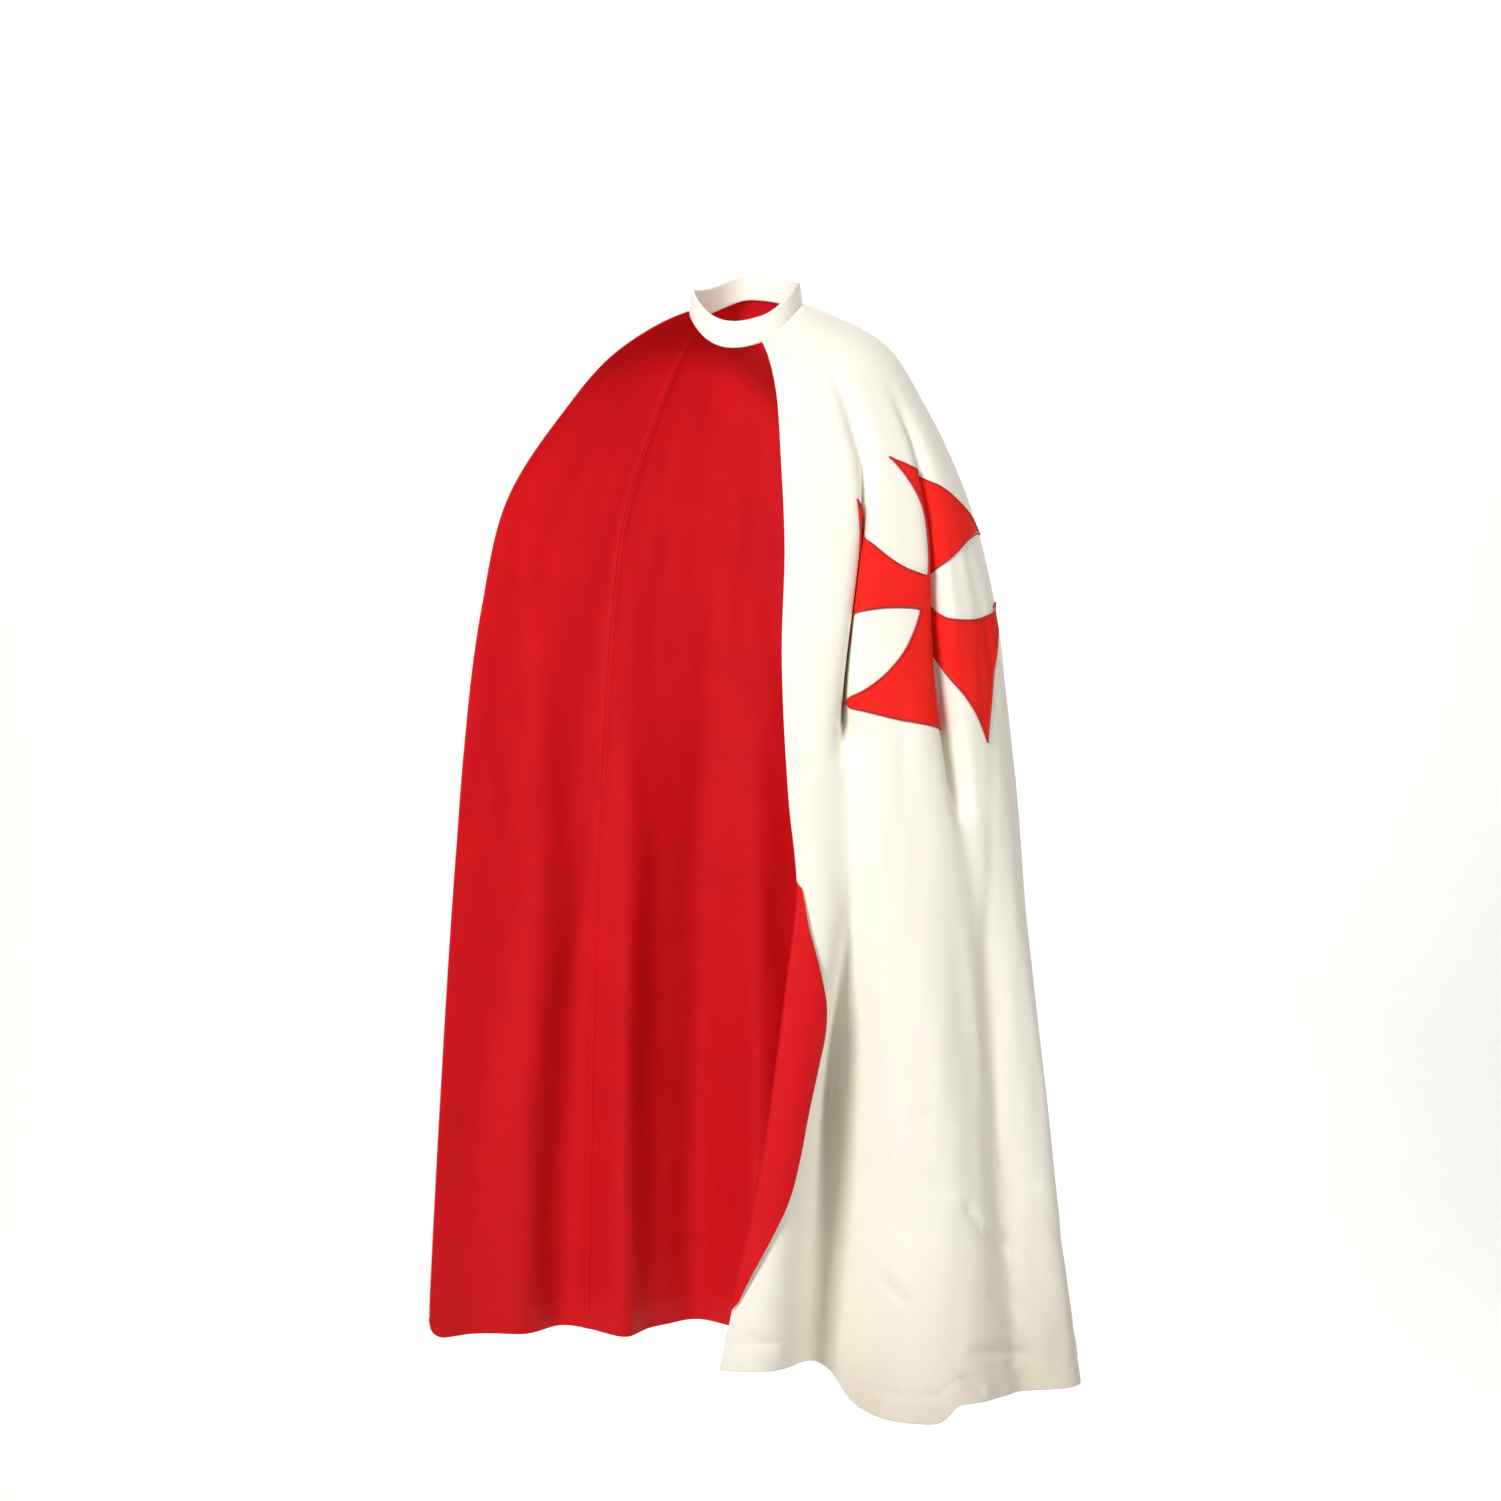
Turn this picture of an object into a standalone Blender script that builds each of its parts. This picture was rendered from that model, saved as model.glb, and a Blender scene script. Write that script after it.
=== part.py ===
"""A floor-length cloak of cream wool lined in red, in its hollow form as worn.

Metres, +Z up, front towards -Y, the cloak's own left towards +X. The origin is the centre of the neck
opening. The cloth is one draped sheet, worked out from the section and fold tables, then parted into
sewn pieces.
A bearing of 0 degrees is the front, 90 the left side and 180 the centre back; past that it runs along the
right wing, which ends at its free front edge at WING_END.
"""

import math

import bpy
import numpy as np

# Cloth and seams
SHELL_THICK = 0.0016
LINING_THICK = 0.0012
BAND_THICK = 0.0030
CROSS_THICK = 0.0012
SEAM_GAP = 0.0003

# Sewn pieces, by the bearings of their seams
LEFT_SEAM = 122.0
RIGHT_SEAM = 215.0
WING_END = 247.0
LEFT_STRETCH_STEPS = (5, 16, 3, 7, 11)
LEFT_STEPS = sum(LEFT_STRETCH_STEPS)
PLEAT_SPREAD = 7.0
LIP_END = 13.0
BACK_STEPS = 22
RIGHT_STEPS = 10

# Steps, in degrees and metres, over which directions on the sheet are taken
TURN_STEP = 0.25
EDGE_STEP = 0.5
FALL_STEP = 0.002

# Front edge, turned back over the panel for part of its length
ROLL_RADIUS = 0.0045
ROLL_STEPS = 5
LAP_STEPS = 3
PLAIN_EDGE = 0.006
TURN_FULL = 0.022
PLAIN_ROLL_SHARE = 0.6
FULLY_TURNED = 0.99
LEAST_BEND = 1e-4

# Front corner, hem and right wing
CORNER_LIFT = 0.050
CORNER_SPREAD = 20.0
CORNER_POWER = 4
HEM_DIP = 0.026
HEM_DIP_BEARING = 26.5
HEM_DIP_SPREAD = 9.0
HEM_DIP_POWER = 8
WING_CURVE = 2.0

# Neckband
BAND_HEIGHT = 0.034
BAND_LEAN = 0.004
BAND_LAP = 0.045
BAND_TUCK = 0.0042
BAND_DROP = 0.005
BAND_SET = 0.0024
BAND_RISES = (1.0, 0.5, 0.0)
STRAP_SAG = 0.024
STRAP_STEPS = 18
TUCK_FROM, TUCK_TO = 0.6, 0.95

# Cross pattee, laid on the left front
CROSS_SPAN = 0.345
CROSS_END = 0.214
CROSS_WAIST = 0.046
CROSS_TURN = 20.0
CROSS_BEARING = 46.3
CROSS_RUN = 0.46
CROSS_STEP = 0.039
CROSS_STEP_END = 0.08
CROSS_DROOP = 0.33
CROSS_DROOP_FROM = 0.07
CROSS_SLOPE = 0.37
CROSS_SLOPE_FROM = -0.042
CROSS_SLOPE_LOW, CROSS_SLOPE_HIGH = 0.04, 0.17
CROSS_ROWS = 9
SAMPLES_PER_COLUMN = 20
MIN_CELL = 1e-9
CELL_DIGITS = 5

# Sections down the cloth. run is the length from the neckline over the left side; each reach is
# paired with the height it lies at; edge_x is the left front edge and wing_y the free right edge.
SECTION_COLUMNS = ("run", "left_x", "left_z", "front_y", "front_z", "back_y", "back_z",
                   "right_x", "right_z", "edge_x", "wing_y")
SECTIONS = (
    (0.000, 0.072, 0.012, -0.085, -0.042, 0.072, 0.030, 0.085, 0.000, 0.019, -0.030),
    (0.035, 0.106, -0.002, -0.100, -0.060, 0.088, 0.010, 0.115, -0.010, 0.027, -0.005),
    (0.120, 0.180, -0.042, -0.125, -0.115, 0.118, -0.060, 0.190, -0.055, 0.040, 0.030),
    (0.220, 0.235, -0.125, -0.148, -0.200, 0.140, -0.160, 0.262, -0.135, 0.046, 0.060),
    (0.350, 0.290, -0.243, -0.163, -0.315, 0.160, -0.290, 0.335, -0.245, 0.051, 0.080),
    (0.505, 0.330, -0.395, -0.172, -0.455, 0.182, -0.440, 0.375, -0.400, 0.047, 0.100),
    (0.710, 0.355, -0.600, -0.176, -0.645, 0.212, -0.635, 0.403, -0.605, 0.053, 0.120),
    (0.850, 0.368, -0.738, -0.179, -0.770, 0.232, -0.765, 0.415, -0.742, 0.063, 0.135),
    (0.990, 0.381, -0.876, -0.182, -0.895, 0.252, -0.895, 0.427, -0.880, 0.050, 0.150),
    (1.295, 0.413, -1.180, -0.193, -1.180, 0.300, -1.180, 0.449, -1.180, 0.014, 0.175),
    (1.565, 0.448, -1.450, -0.206, -1.440, 0.348, -1.476, 0.466, -1.460, -0.037, 0.200),
)

# Rows of the built walls, as runs
WALL_RUNS = (0.0, 0.035, 0.10, 0.18, 0.26, 0.34, 0.43, 0.53, 0.66, 0.80, 0.85, 0.88, 0.93, 1.02,
             1.12, 1.24, 1.34, 1.405, 1.435, 1.46, 1.49, 1.565)

# Folds: bearing at four runs down the cloth, half width in degrees high up and at the hem, full depth
# (outward positive), and the runs where the fold starts and is full. FRONT_PLEAT lies beside the flat front
# band and SIDE_PLEAT at the side; both are eased again below the cross, and FRONT_VALLEY opens lower down.
FOLD_RUNS = (0.25, 0.50, 0.95, 1.565)
FOLD_COLUMNS = ("upper", "middle", "lower", "hem", "narrow", "wide", "depth", "start", "full")
FRONT_PLEAT = (37.5, 24.8, 20.3, 14.9, 3.8, 4.6, -0.062, 0.05, 0.65)
FRONT_EASED = (37.5, 24.8, 20.3, 14.9, 3.8, 4.6, 0.052, 0.59, 0.71)
FRONT_VALLEY = (30.0, 25.0, 21.0, 14.2, 1.0, 7.6, -0.122, 0.80, 1.22)
SIDE_PLEAT = (60.0, 48.5, 55.0, 50.0, 3.4, 6.0, -0.054, 0.15, 0.60)
SIDE_EASED = (60.0, 48.5, 55.0, 50.0, 3.4, 6.0, 0.050, 0.63, 0.77)
FOLDS = (
    (20.0, 15.0, 11.0, 4.0, 7.0, 7.0, 0.019, 0.10, 1.60),
    FRONT_PLEAT,
    FRONT_EASED,
    FRONT_VALLEY,
    (50.0, 40.0, 39.0, 38.0, 9.0, 9.0, 0.019, 0.35, 1.30),
    SIDE_PLEAT,
    SIDE_EASED,
    (75.0, 74.0, 74.0, 73.0, 8.0, 8.0, 0.017, 0.50, 1.50),
    (97.0, 97.0, 92.0, 90.0, 6.0, 6.0, -0.040, 0.50, 1.70),
    (108.0, 108.0, 106.0, 105.0, 6.0, 6.0, 0.027, 0.35, 1.70),
    (122.0, 122.0, 121.0, 120.0, 6.0, 6.0, -0.045, 0.30, 1.70),
    (137.0, 137.0, 136.0, 135.0, 6.0, 6.0, 0.038, 0.40, 1.70),
    (151.0, 151.0, 150.0, 150.0, 6.0, 6.0, -0.048, 0.25, 1.70),
    (165.0, 165.0, 165.0, 164.0, 6.0, 6.0, 0.040, 0.35, 1.70),
    (178.0, 178.0, 178.0, 178.0, 5.5, 5.5, -0.044, 0.30, 1.70),
    (192.0, 192.0, 192.0, 191.0, 5.5, 6.0, 0.044, 0.30, 1.70),
    (208.0, 208.0, 208.5, 209.0, 5.0, 5.5, -0.062, 0.35, 1.70),
    (219.0, 219.0, 219.0, 219.0, 5.0, 5.0, 0.022, 0.40, 1.70),
    (228.0, 228.0, 228.0, 229.0, 4.5, 4.5, -0.022, 0.40, 1.70),
    (239.0, 239.0, 239.0, 239.0, 5.0, 5.0, 0.012, 0.50, 1.70),
)

# Lips that lean over the pleats: degrees from the pleat's middle, half width in degrees, metres of lean along
# the sheet, and the runs where the lean starts, is full, eases and has eased to LIP_SHARE_LEFT of it
LIP_COLUMNS = ("ahead", "spread", "lean", "start", "full", "eases", "eased")
LIPS = (
    (FRONT_PLEAT, (-4.5, 3.5, 0.004, 0.15, 0.45, 0.59, 0.71)),
    (FRONT_PLEAT, (6.0, 3.8, -0.012, 0.15, 0.45, 0.59, 0.71)),
    (SIDE_PLEAT, (-4.0, 3.0, 0.004, 0.20, 0.45, 0.63, 0.77)),
)
LIP_SHARE_LEFT = 0.0

# Width of red lining that the turned-back left front edge shows, by run
TURN_COLUMNS = ("run", "width")
TURN = (
    (0.815, 0.000),
    (0.865, 0.011),
    (0.897, 0.019),
    (0.962, 0.039),
    (1.013, 0.050),
    (1.058, 0.053),
    (1.103, 0.050),
    (1.180, 0.044),
    (1.245, 0.043),
    (1.310, 0.040),
    (1.364, 0.032),
    (1.414, 0.021),
    (1.455, 0.010),
    (1.490, 0.000),
)


def column(table, columns, name):
    """One named column of a table, as an array."""
    place = columns.index(name)
    return np.array([row[place] for row in table])


def smooth_through(at, knots, values):
    """Values on a smooth curve through the knots, with the slope at each knot from its neighbours."""
    slopes = np.gradient(values, knots)
    at = np.clip(at, knots[0], knots[-1])
    left = np.clip(np.searchsorted(knots, at, side="right") - 1, 0, len(knots) - 2)
    step = knots[left + 1] - knots[left]
    f = (at - knots[left]) / step
    rise = f * f * (3 - 2 * f)
    return ((1 - rise) * values[left] + rise * values[left + 1]
            + step * f * (1 - f) ** 2 * slopes[left]
            - step * f * f * (1 - f) * slopes[left + 1])


def section(name, run):
    """One size of the section at a run down the cloth."""
    runs = column(SECTIONS, SECTION_COLUMNS, "run")
    return smooth_through(run, runs, column(SECTIONS, SECTION_COLUMNS, name))


def ramp(value, low, high):
    """A soft step from 0 at low to 1 at high."""
    f = np.clip((value - low) / (high - low), 0.0, 1.0)
    return f * f * (3 - 2 * f)


def edge_bearing(run):
    """Bearing of the left front edge."""
    return np.degrees(np.arcsin(section("edge_x", run) / section("left_x", run)))


def plain_drape(bearing, run):
    """The draped sheet before its folds."""
    turn = np.radians(np.minimum(bearing, 180.0))
    side = np.sin(turn) ** 2
    front = np.cos(turn) > 0
    reach = np.where(front, -section("front_y", run), section("back_y", run))
    level = np.where(front, section("front_z", run), section("back_z", run))
    x = section("left_x", run) * np.sin(turn)
    y = -reach * np.cos(turn)
    z = side * section("left_z", run) + (1 - side) * level

    wing = np.maximum((bearing - 180.0) / (WING_END - 180.0), 0.0)
    x = x - section("right_x", run) * wing
    y = y - (section("back_y", run) - section("wing_y", run)) * wing ** WING_CURVE
    z = z + (section("right_z", run) - section("back_z", run)) * ramp(wing, 0.0, 1.0)

    from_edge = (bearing - edge_bearing(run)) / CORNER_SPREAD
    from_dip = (bearing - HEM_DIP_BEARING) / HEM_DIP_SPREAD
    lift = CORNER_LIFT * np.exp(-from_edge ** CORNER_POWER) - HEM_DIP * np.exp(-from_dip ** HEM_DIP_POWER)
    z = z + lift * ramp(run, FOLD_RUNS[2], FOLD_RUNS[3])
    return np.stack((x, y, z), axis=-1)


def fold_bearing(fold, run):
    """Bearing of a fold's middle at a run down the cloth."""
    return smooth_through(run, np.array(FOLD_RUNS), np.array(fold[:len(FOLD_RUNS)]))


def fold_depth(bearing, run):
    """How far the folds move the sheet outward."""
    depth = np.zeros(np.broadcast(bearing, run).shape)
    for fold in FOLDS:
        named = dict(zip(FOLD_COLUMNS, fold))
        widening = ramp(run, FOLD_RUNS[1], FOLD_RUNS[3])
        half_width = named["narrow"] + (named["wide"] - named["narrow"]) * widening
        off = (bearing - fold_bearing(fold, run)) / half_width
        depth = depth + named["depth"] * ramp(run, named["start"], named["full"]) * np.exp(-off ** 2)
    return depth


def unit(vectors):
    return vectors / np.linalg.norm(vectors, axis=-1, keepdims=True)


def lip_lean(bearing, run):
    """How far the pleats' lips lean along the sheet."""
    lean = np.zeros(np.broadcast(bearing, run).shape)
    for pleat, row in LIPS:
        lip = dict(zip(LIP_COLUMNS, row))
        off = (bearing - fold_bearing(pleat, run) - lip["ahead"]) / lip["spread"]
        easing = 1 - (1 - LIP_SHARE_LEFT) * ramp(run, lip["eases"], lip["eased"])
        lean = lean + lip["lean"] * ramp(run, lip["start"], lip["full"]) * easing * np.exp(-off ** 2)
    return lean


def drape(bearing, run):
    """The draped sheet with its folds."""
    plain = plain_drape(bearing, run)
    across = plain_drape(bearing + TURN_STEP, run) - plain_drape(bearing - TURN_STEP, run)
    level = np.zeros(across.shape[:-1])
    out = unit(np.stack((across[..., 1], -across[..., 0], level), axis=-1))
    along = unit(np.stack((across[..., 0], across[..., 1], level), axis=-1))
    return plain + out * fold_depth(bearing, run)[..., None] + along * lip_lean(bearing, run)[..., None]


def facing(bearing, run):
    """Outward direction of the folded sheet."""
    across = drape(bearing + TURN_STEP, run) - drape(bearing - TURN_STEP, run)
    below = np.minimum(run + FALL_STEP, FOLD_RUNS[-1])
    above = np.maximum(run - FALL_STEP, 0.0)
    return unit(np.cross(drape(bearing, below) - drape(bearing, above), across))


def turned_edge(run):
    """The strip beyond the left front fold line, from the free edge to the fold line, with its facing."""
    width = np.interp(run, column(TURN, TURN_COLUMNS, "run"), column(TURN, TURN_COLUMNS, "width"))
    turned = ramp(width, 0.0, TURN_FULL)
    roll = math.pi * ROLL_RADIUS
    length = PLAIN_EDGE + turned * (roll + np.maximum(width - ROLL_RADIUS, 0.0) - PLAIN_EDGE)
    angle = math.pi * turned
    flat = turned > FULLY_TURNED
    roll_share = PLAIN_ROLL_SHARE + (1 - PLAIN_ROLL_SHARE) * turned
    arc = np.minimum(np.where(flat, roll, length), roll_share * length)
    bearing = edge_bearing(run)
    edge = drape(bearing, run)
    out = facing(bearing, run)
    beyond = unit(edge - drape(bearing + EDGE_STEP, run))
    metres_per_degree = np.linalg.norm(drape(bearing + 1.0, run) - edge, axis=-1)
    points, faces_out = [], []
    for k in range(ROLL_STEPS + LAP_STEPS, 0, -1):
        on_arc = min(k / ROLL_STEPS, 1.0)
        past = max(k - ROLL_STEPS, 0) / LAP_STEPS * (length - arc)
        bend = np.maximum(angle * on_arc, LEAST_BEND)
        radius = arc * on_arc / bend
        swung = edge + beyond * (radius * np.sin(bend))[..., None]
        swung = swung + out * (radius * (1 - np.cos(bend)))[..., None]
        heading = beyond * np.cos(bend)[..., None] + out * np.sin(bend)[..., None]
        straight = swung + heading * past[..., None]
        over = bearing + past / metres_per_degree
        lapped = drape(over, run) + facing(over, run) * (2 * ROLL_RADIUS)
        flat_lap = flat[..., None] & (on_arc >= 1.0)
        points.append(np.where(flat_lap, lapped, straight))
        swung_out = out * np.cos(bend)[..., None] - beyond * np.sin(bend)[..., None]
        faces_out.append(np.where(flat_lap, -facing(over, run), swung_out))
    return np.stack(points, axis=1), np.stack(faces_out, axis=1)


def wall_mesh(name, inner, outer, material):
    """A closed wall between two grids of points, rows down and columns round the cloth."""
    rows, columns = inner.shape[:2]
    count = rows * columns
    index = np.arange(count).reshape(rows, columns)
    a, b = index[:-1, :-1].ravel(), index[:-1, 1:].ravel()
    c, d = index[1:, 1:].ravel(), index[1:, :-1].ravel()
    outside = np.concatenate((np.stack((a, d, c), axis=1), np.stack((a, c, b), axis=1))) + count
    inside = np.concatenate((np.stack((a, b, c), axis=1), np.stack((a, c, d), axis=1)))
    rim = np.concatenate((index[0, :-1], index[:-1, -1], index[-1, :0:-1], index[:0:-1, 0]))
    following = np.roll(rim, -1)
    around = np.stack((following, rim, rim + count, following + count), axis=1)
    faces = inside.tolist() + outside.tolist() + around.tolist()
    points = np.concatenate((inner.reshape(-1, 3), outer.reshape(-1, 3))).tolist()
    return add_object(name, points, faces, material)


def add_object(name, points, faces, material):
    mesh = bpy.data.meshes.new(name)
    mesh.from_pydata(points, [], faces)
    mesh.materials.append(material)
    mesh.validate()
    mesh.shade_smooth()
    piece = bpy.data.objects.new(name, mesh)
    bpy.context.scene.collection.objects.link(piece)
    return piece


def cloth_material(name, colour, roughness):
    material = bpy.data.materials.new(name)
    material.use_nodes = True
    shader = material.node_tree.nodes["Principled BSDF"]
    shader.inputs["Base Color"].default_value = (*colour, 1.0)
    shader.inputs["Roughness"].default_value = roughness
    shader.inputs["Metallic"].default_value = 0.0
    return material


def left_bearings(run):
    """Bearings of the left front's columns at one run: close together across its two pleats."""
    front, side = fold_bearing(FRONT_PLEAT, run), fold_bearing(SIDE_PLEAT, run)
    marks = (edge_bearing(run), front - PLEAT_SPREAD, front + LIP_END,
             side - PLEAT_SPREAD, side + PLEAT_SPREAD, LEFT_SEAM)
    stretches = [np.linspace(low, high, steps + 1)[:-1]
                 for low, high, steps in zip(marks, marks[1:], LEFT_STRETCH_STEPS)]
    return np.concatenate(stretches + [[LEFT_SEAM]])


def left_grid():
    """Points and facings of the left front's columns, without the strip beyond its fold line."""
    bearing = np.stack([left_bearings(np.array(run)) for run in WALL_RUNS])
    run = np.array(WALL_RUNS)[:, None] + 0 * bearing
    return drape(bearing, run), facing(bearing, run)


def panel_grid(low, high, steps):
    """Points and facings of the sheet between two bearings; low is None at the left front edge."""
    if low is None:
        points, faces_out = left_grid()
        strip, strip_out = turned_edge(np.array(WALL_RUNS))
        return np.concatenate((strip, points), axis=1), np.concatenate((strip_out, faces_out), axis=1)
    bearing, run = np.meshgrid(np.linspace(low, high, steps + 1), np.array(WALL_RUNS))
    return drape(bearing, run), facing(bearing, run)


def part_seams(points, low_seam, high_seam):
    """Draws a panel's edges in by half the seam gap."""
    points = points.copy()
    if low_seam:
        points[:, 0] += unit(points[:, 1] - points[:, 0]) * SEAM_GAP / 2
    if high_seam:
        points[:, -1] += unit(points[:, -2] - points[:, -1]) * SEAM_GAP / 2
    return points


def build_panels(wool, lining):
    """The three shell panels and the linings behind them."""
    panels = (
        ("left_front", None, LEFT_SEAM, LEFT_STEPS, False, True),
        ("back", LEFT_SEAM, RIGHT_SEAM, BACK_STEPS, True, True),
        ("right_front", RIGHT_SEAM, WING_END, RIGHT_STEPS, True, False),
    )
    half = SEAM_GAP / 2
    for name, low, high, steps, low_seam, high_seam in panels:
        points, out = panel_grid(low, high, steps)
        points = part_seams(points, low_seam, high_seam)
        wall_mesh(name + "_shell", points + out * half, points + out * (half + SHELL_THICK), wool)
        wall_mesh(name + "_lining", points - out * (half + LINING_THICK), points - out * half, lining)


def neckband_path():
    """Lower edge of the band: round the neckline from the left front, then across the neck and inside."""
    bearings = np.concatenate((
        left_bearings(np.array(0.0))[:-1],
        np.linspace(LEFT_SEAM, RIGHT_SEAM, BACK_STEPS + 1)[:-1],
        np.linspace(RIGHT_SEAM, WING_END, RIGHT_STEPS + 1)[:-1],
    ))
    sewn = drape(bearings, 0 * bearings)
    along = unit(np.gradient(sewn, axis=0))
    out = unit(np.stack((along[:, 1], -along[:, 0], 0 * along[:, 0]), axis=-1))
    sewn = sewn - out * BAND_SET
    sewn[:, 2] -= BAND_DROP
    first, last = sewn[0], sewn[-1]
    from_angle = math.atan2(last[0], -last[1])
    to_angle = math.atan2(first[0], -first[1])
    from_radius = math.hypot(last[0], last[1])
    to_radius = math.hypot(first[0], first[1])
    lap = BAND_LAP / to_radius / (to_angle - from_angle)
    along = np.linspace(0.0, 1.0 + lap, STRAP_STEPS + 1)[1:]
    angle = from_angle + (to_angle - from_angle) * along
    crossed = np.minimum(along, 1.0)
    tuck = BAND_TUCK * ramp(along, TUCK_FROM, TUCK_TO)
    radius = from_radius + (to_radius - from_radius) * crossed - tuck
    height = last[2] + (first[2] - last[2]) * crossed - STRAP_SAG * np.sin(math.pi * crossed)
    strap = np.stack((radius * np.sin(angle), -radius * np.cos(angle), height), axis=-1)
    return np.concatenate((sewn, strap))


def build_neckband(wool):
    path = neckband_path()
    along = unit(np.gradient(path, axis=0))
    out = unit(np.stack((along[:, 1], -along[:, 0], 0 * along[:, 0]), axis=-1))
    rows = []
    for rise in BAND_RISES:
        up = np.array((0.0, 0.0, BAND_HEIGHT * rise))
        rows.append(path + up - out * BAND_LEAN * rise)
    middle = np.stack(rows)
    wall_mesh("neckband", middle - out * BAND_THICK / 2, middle + out * BAND_THICK / 2, wool)


def cross_arm_half_width(reach):
    """Half the width of an arm at a distance from the cross's centre: the sides are arcs of one circle."""
    waist, end, span = CROSS_WAIST / 2, CROSS_END / 2, CROSS_SPAN / 2
    run = span - waist
    rise = end - waist
    radius = (run ** 2 + rise ** 2) / (2 * rise)
    return waist + radius - math.sqrt(radius ** 2 - (reach - waist) ** 2)


def cross_pieces():
    """The flat cross in convex pieces: its middle square, then each arm in rows."""
    waist, span = CROSS_WAIST / 2, CROSS_SPAN / 2
    pieces = [((-waist, -waist), (waist, -waist), (waist, waist), (-waist, waist))]
    reaches = np.linspace(waist, span, CROSS_ROWS + 1)
    for cos, sin in ((1, 0), (0, 1), (-1, 0), (0, -1)):
        for near, far in zip(reaches[:-1], reaches[1:]):
            slim, wide = cross_arm_half_width(near), cross_arm_half_width(far)
            corners = ((-slim, near), (slim, near), (wide, far), (-wide, far))
            pieces.append(tuple((p * cos - q * sin, p * sin + q * cos) for p, q in corners))
    return pieces


def cross_droop(across, up):
    """How much further down the cloth a point of the cross lies, the more so towards the side."""
    lower = CROSS_STEP * ramp(across, 0.0, CROSS_STEP_END)
    lower = lower + CROSS_DROOP * np.maximum(across - CROSS_DROOP_FROM, 0.0)
    upper = CROSS_SLOPE * np.maximum(across - CROSS_SLOPE_FROM, 0.0)
    return lower + (upper - lower) * ramp(up, CROSS_SLOPE_LOW, CROSS_SLOPE_HIGH)


def cross_on_columns(p, q):
    """Column and row of the left front's wall under a point of the flat cross."""
    turn = math.radians(CROSS_TURN)
    across = p * math.cos(turn) + q * math.sin(turn)
    up = q * math.cos(turn) - p * math.sin(turn)
    run = CROSS_RUN - up + cross_droop(across, up)
    columns = np.arange(LEFT_STEPS + 1)
    fine = np.linspace(0.0, LEFT_STEPS, SAMPLES_PER_COLUMN * LEFT_STEPS)
    bearings = np.interp(fine, columns, left_bearings(np.array(run)))
    line = drape(bearings, run + 0 * bearings)
    length = np.concatenate(([0.0], np.cumsum(np.linalg.norm(np.diff(line, axis=0), axis=1))))
    middle = CROSS_BEARING + fold_bearing(SIDE_PLEAT, run) - fold_bearing(SIDE_PLEAT, CROSS_RUN)
    place = np.interp(np.interp(middle, bearings, length) + across, length, fine)
    return float(place), float(np.interp(run, WALL_RUNS, np.arange(len(WALL_RUNS))))


def clipped(polygon, corners):
    """A convex polygon cut to a triangle, both given anticlockwise."""
    for (ax, ay), (bx, by) in zip(corners, corners[1:] + corners[:1]):
        kept = []
        sides = [(bx - ax) * (y - ay) - (by - ay) * (x - ax) for x, y in polygon]
        for i, (x, y) in enumerate(polygon):
            j = (i + 1) % len(polygon)
            if sides[i] >= 0:
                kept.append((x, y))
            if (sides[i] > 0 and sides[j] < 0) or (sides[i] < 0 and sides[j] > 0):
                share = sides[i] / (sides[i] - sides[j])
                kept.append((x + (polygon[j][0] - x) * share, y + (polygon[j][1] - y) * share))
        polygon = kept
        if len(polygon) < 3:
            return []
    return polygon


def signed_area(polygon):
    following = polygon[1:] + polygon[:1]
    return sum(ax * by - bx * ay for (ax, ay), (bx, by) in zip(polygon, following)) / 2


def cross_cells():
    """The cross cut along the wall's own triangles, in columns and rows of the wall."""
    cells = []
    for piece in cross_pieces():
        outline = [cross_on_columns(p, q) for p, q in piece]
        if signed_area(outline) < 0:
            outline.reverse()
        us, vs = [u for u, v in outline], [v for u, v in outline]
        for i in range(math.floor(min(us)), math.ceil(max(us))):
            for j in range(math.floor(min(vs)), math.ceil(max(vs))):
                halves = ((i, j), (i + 1, j), (i + 1, j + 1)), ((i, j), (i + 1, j + 1), (i, j + 1))
                for corners in halves:
                    cell = clipped(outline, corners)
                    if cell and signed_area(cell) > MIN_CELL:
                        cells.append(cell)
    return cells


def on_wall(grid, u, v):
    """A point on the triangles of a grid, at a column and a row."""
    i, j = min(int(u), grid.shape[1] - 2), min(int(v), grid.shape[0] - 2)
    f, g = u - i, v - j
    if f >= g:
        return grid[j, i] * (1 - f) + grid[j, i + 1] * (f - g) + grid[j + 1, i + 1] * g
    return grid[j, i] * (1 - g) + grid[j + 1, i + 1] * f + grid[j + 1, i] * (g - f)


def build_cross(felt):
    points, out = left_grid()
    low = SEAM_GAP / 2 + SHELL_THICK + SEAM_GAP
    known, places, faces = {}, [], []
    for cell in cross_cells():
        face = []
        for u, v in cell:
            key = (round(u, CELL_DIGITS), round(v, CELL_DIGITS))
            if key not in known:
                known[key] = len(places)
                places.append((u, v))
            if known[key] not in face:
                face.append(known[key])
        if len(face) > 2:
            faces.append(tuple(face))
    under = [on_wall(points + out * low, u, v) for u, v in places]
    over = [on_wall(points + out * (low + CROSS_THICK), u, v) for u, v in places]
    count = len(places)
    edges = {(a, b) for face in faces for a, b in zip(face, face[1:] + face[:1])}
    rim = [(a, b) for a, b in edges if (b, a) not in edges]
    top = [tuple(reversed([i + count for i in face])) for face in faces]
    sides = [(b, a, a + count, b + count) for a, b in sorted(rim)]
    add_object("cross_applique", np.array(under + over).tolist(), faces + top + sides, felt)


def main():
    for old in list(bpy.data.objects):
        bpy.data.objects.remove(old, do_unlink=True)
    wool = cloth_material("wool_white", (0.86, 0.83, 0.74), 0.9)
    lining = cloth_material("lining_red", (0.62, 0.02, 0.03), 0.75)
    felt = cloth_material("cross_red", (0.75, 0.03, 0.02), 0.85)
    build_panels(wool, lining)
    build_neckband(wool)
    build_cross(felt)


main()
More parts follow.
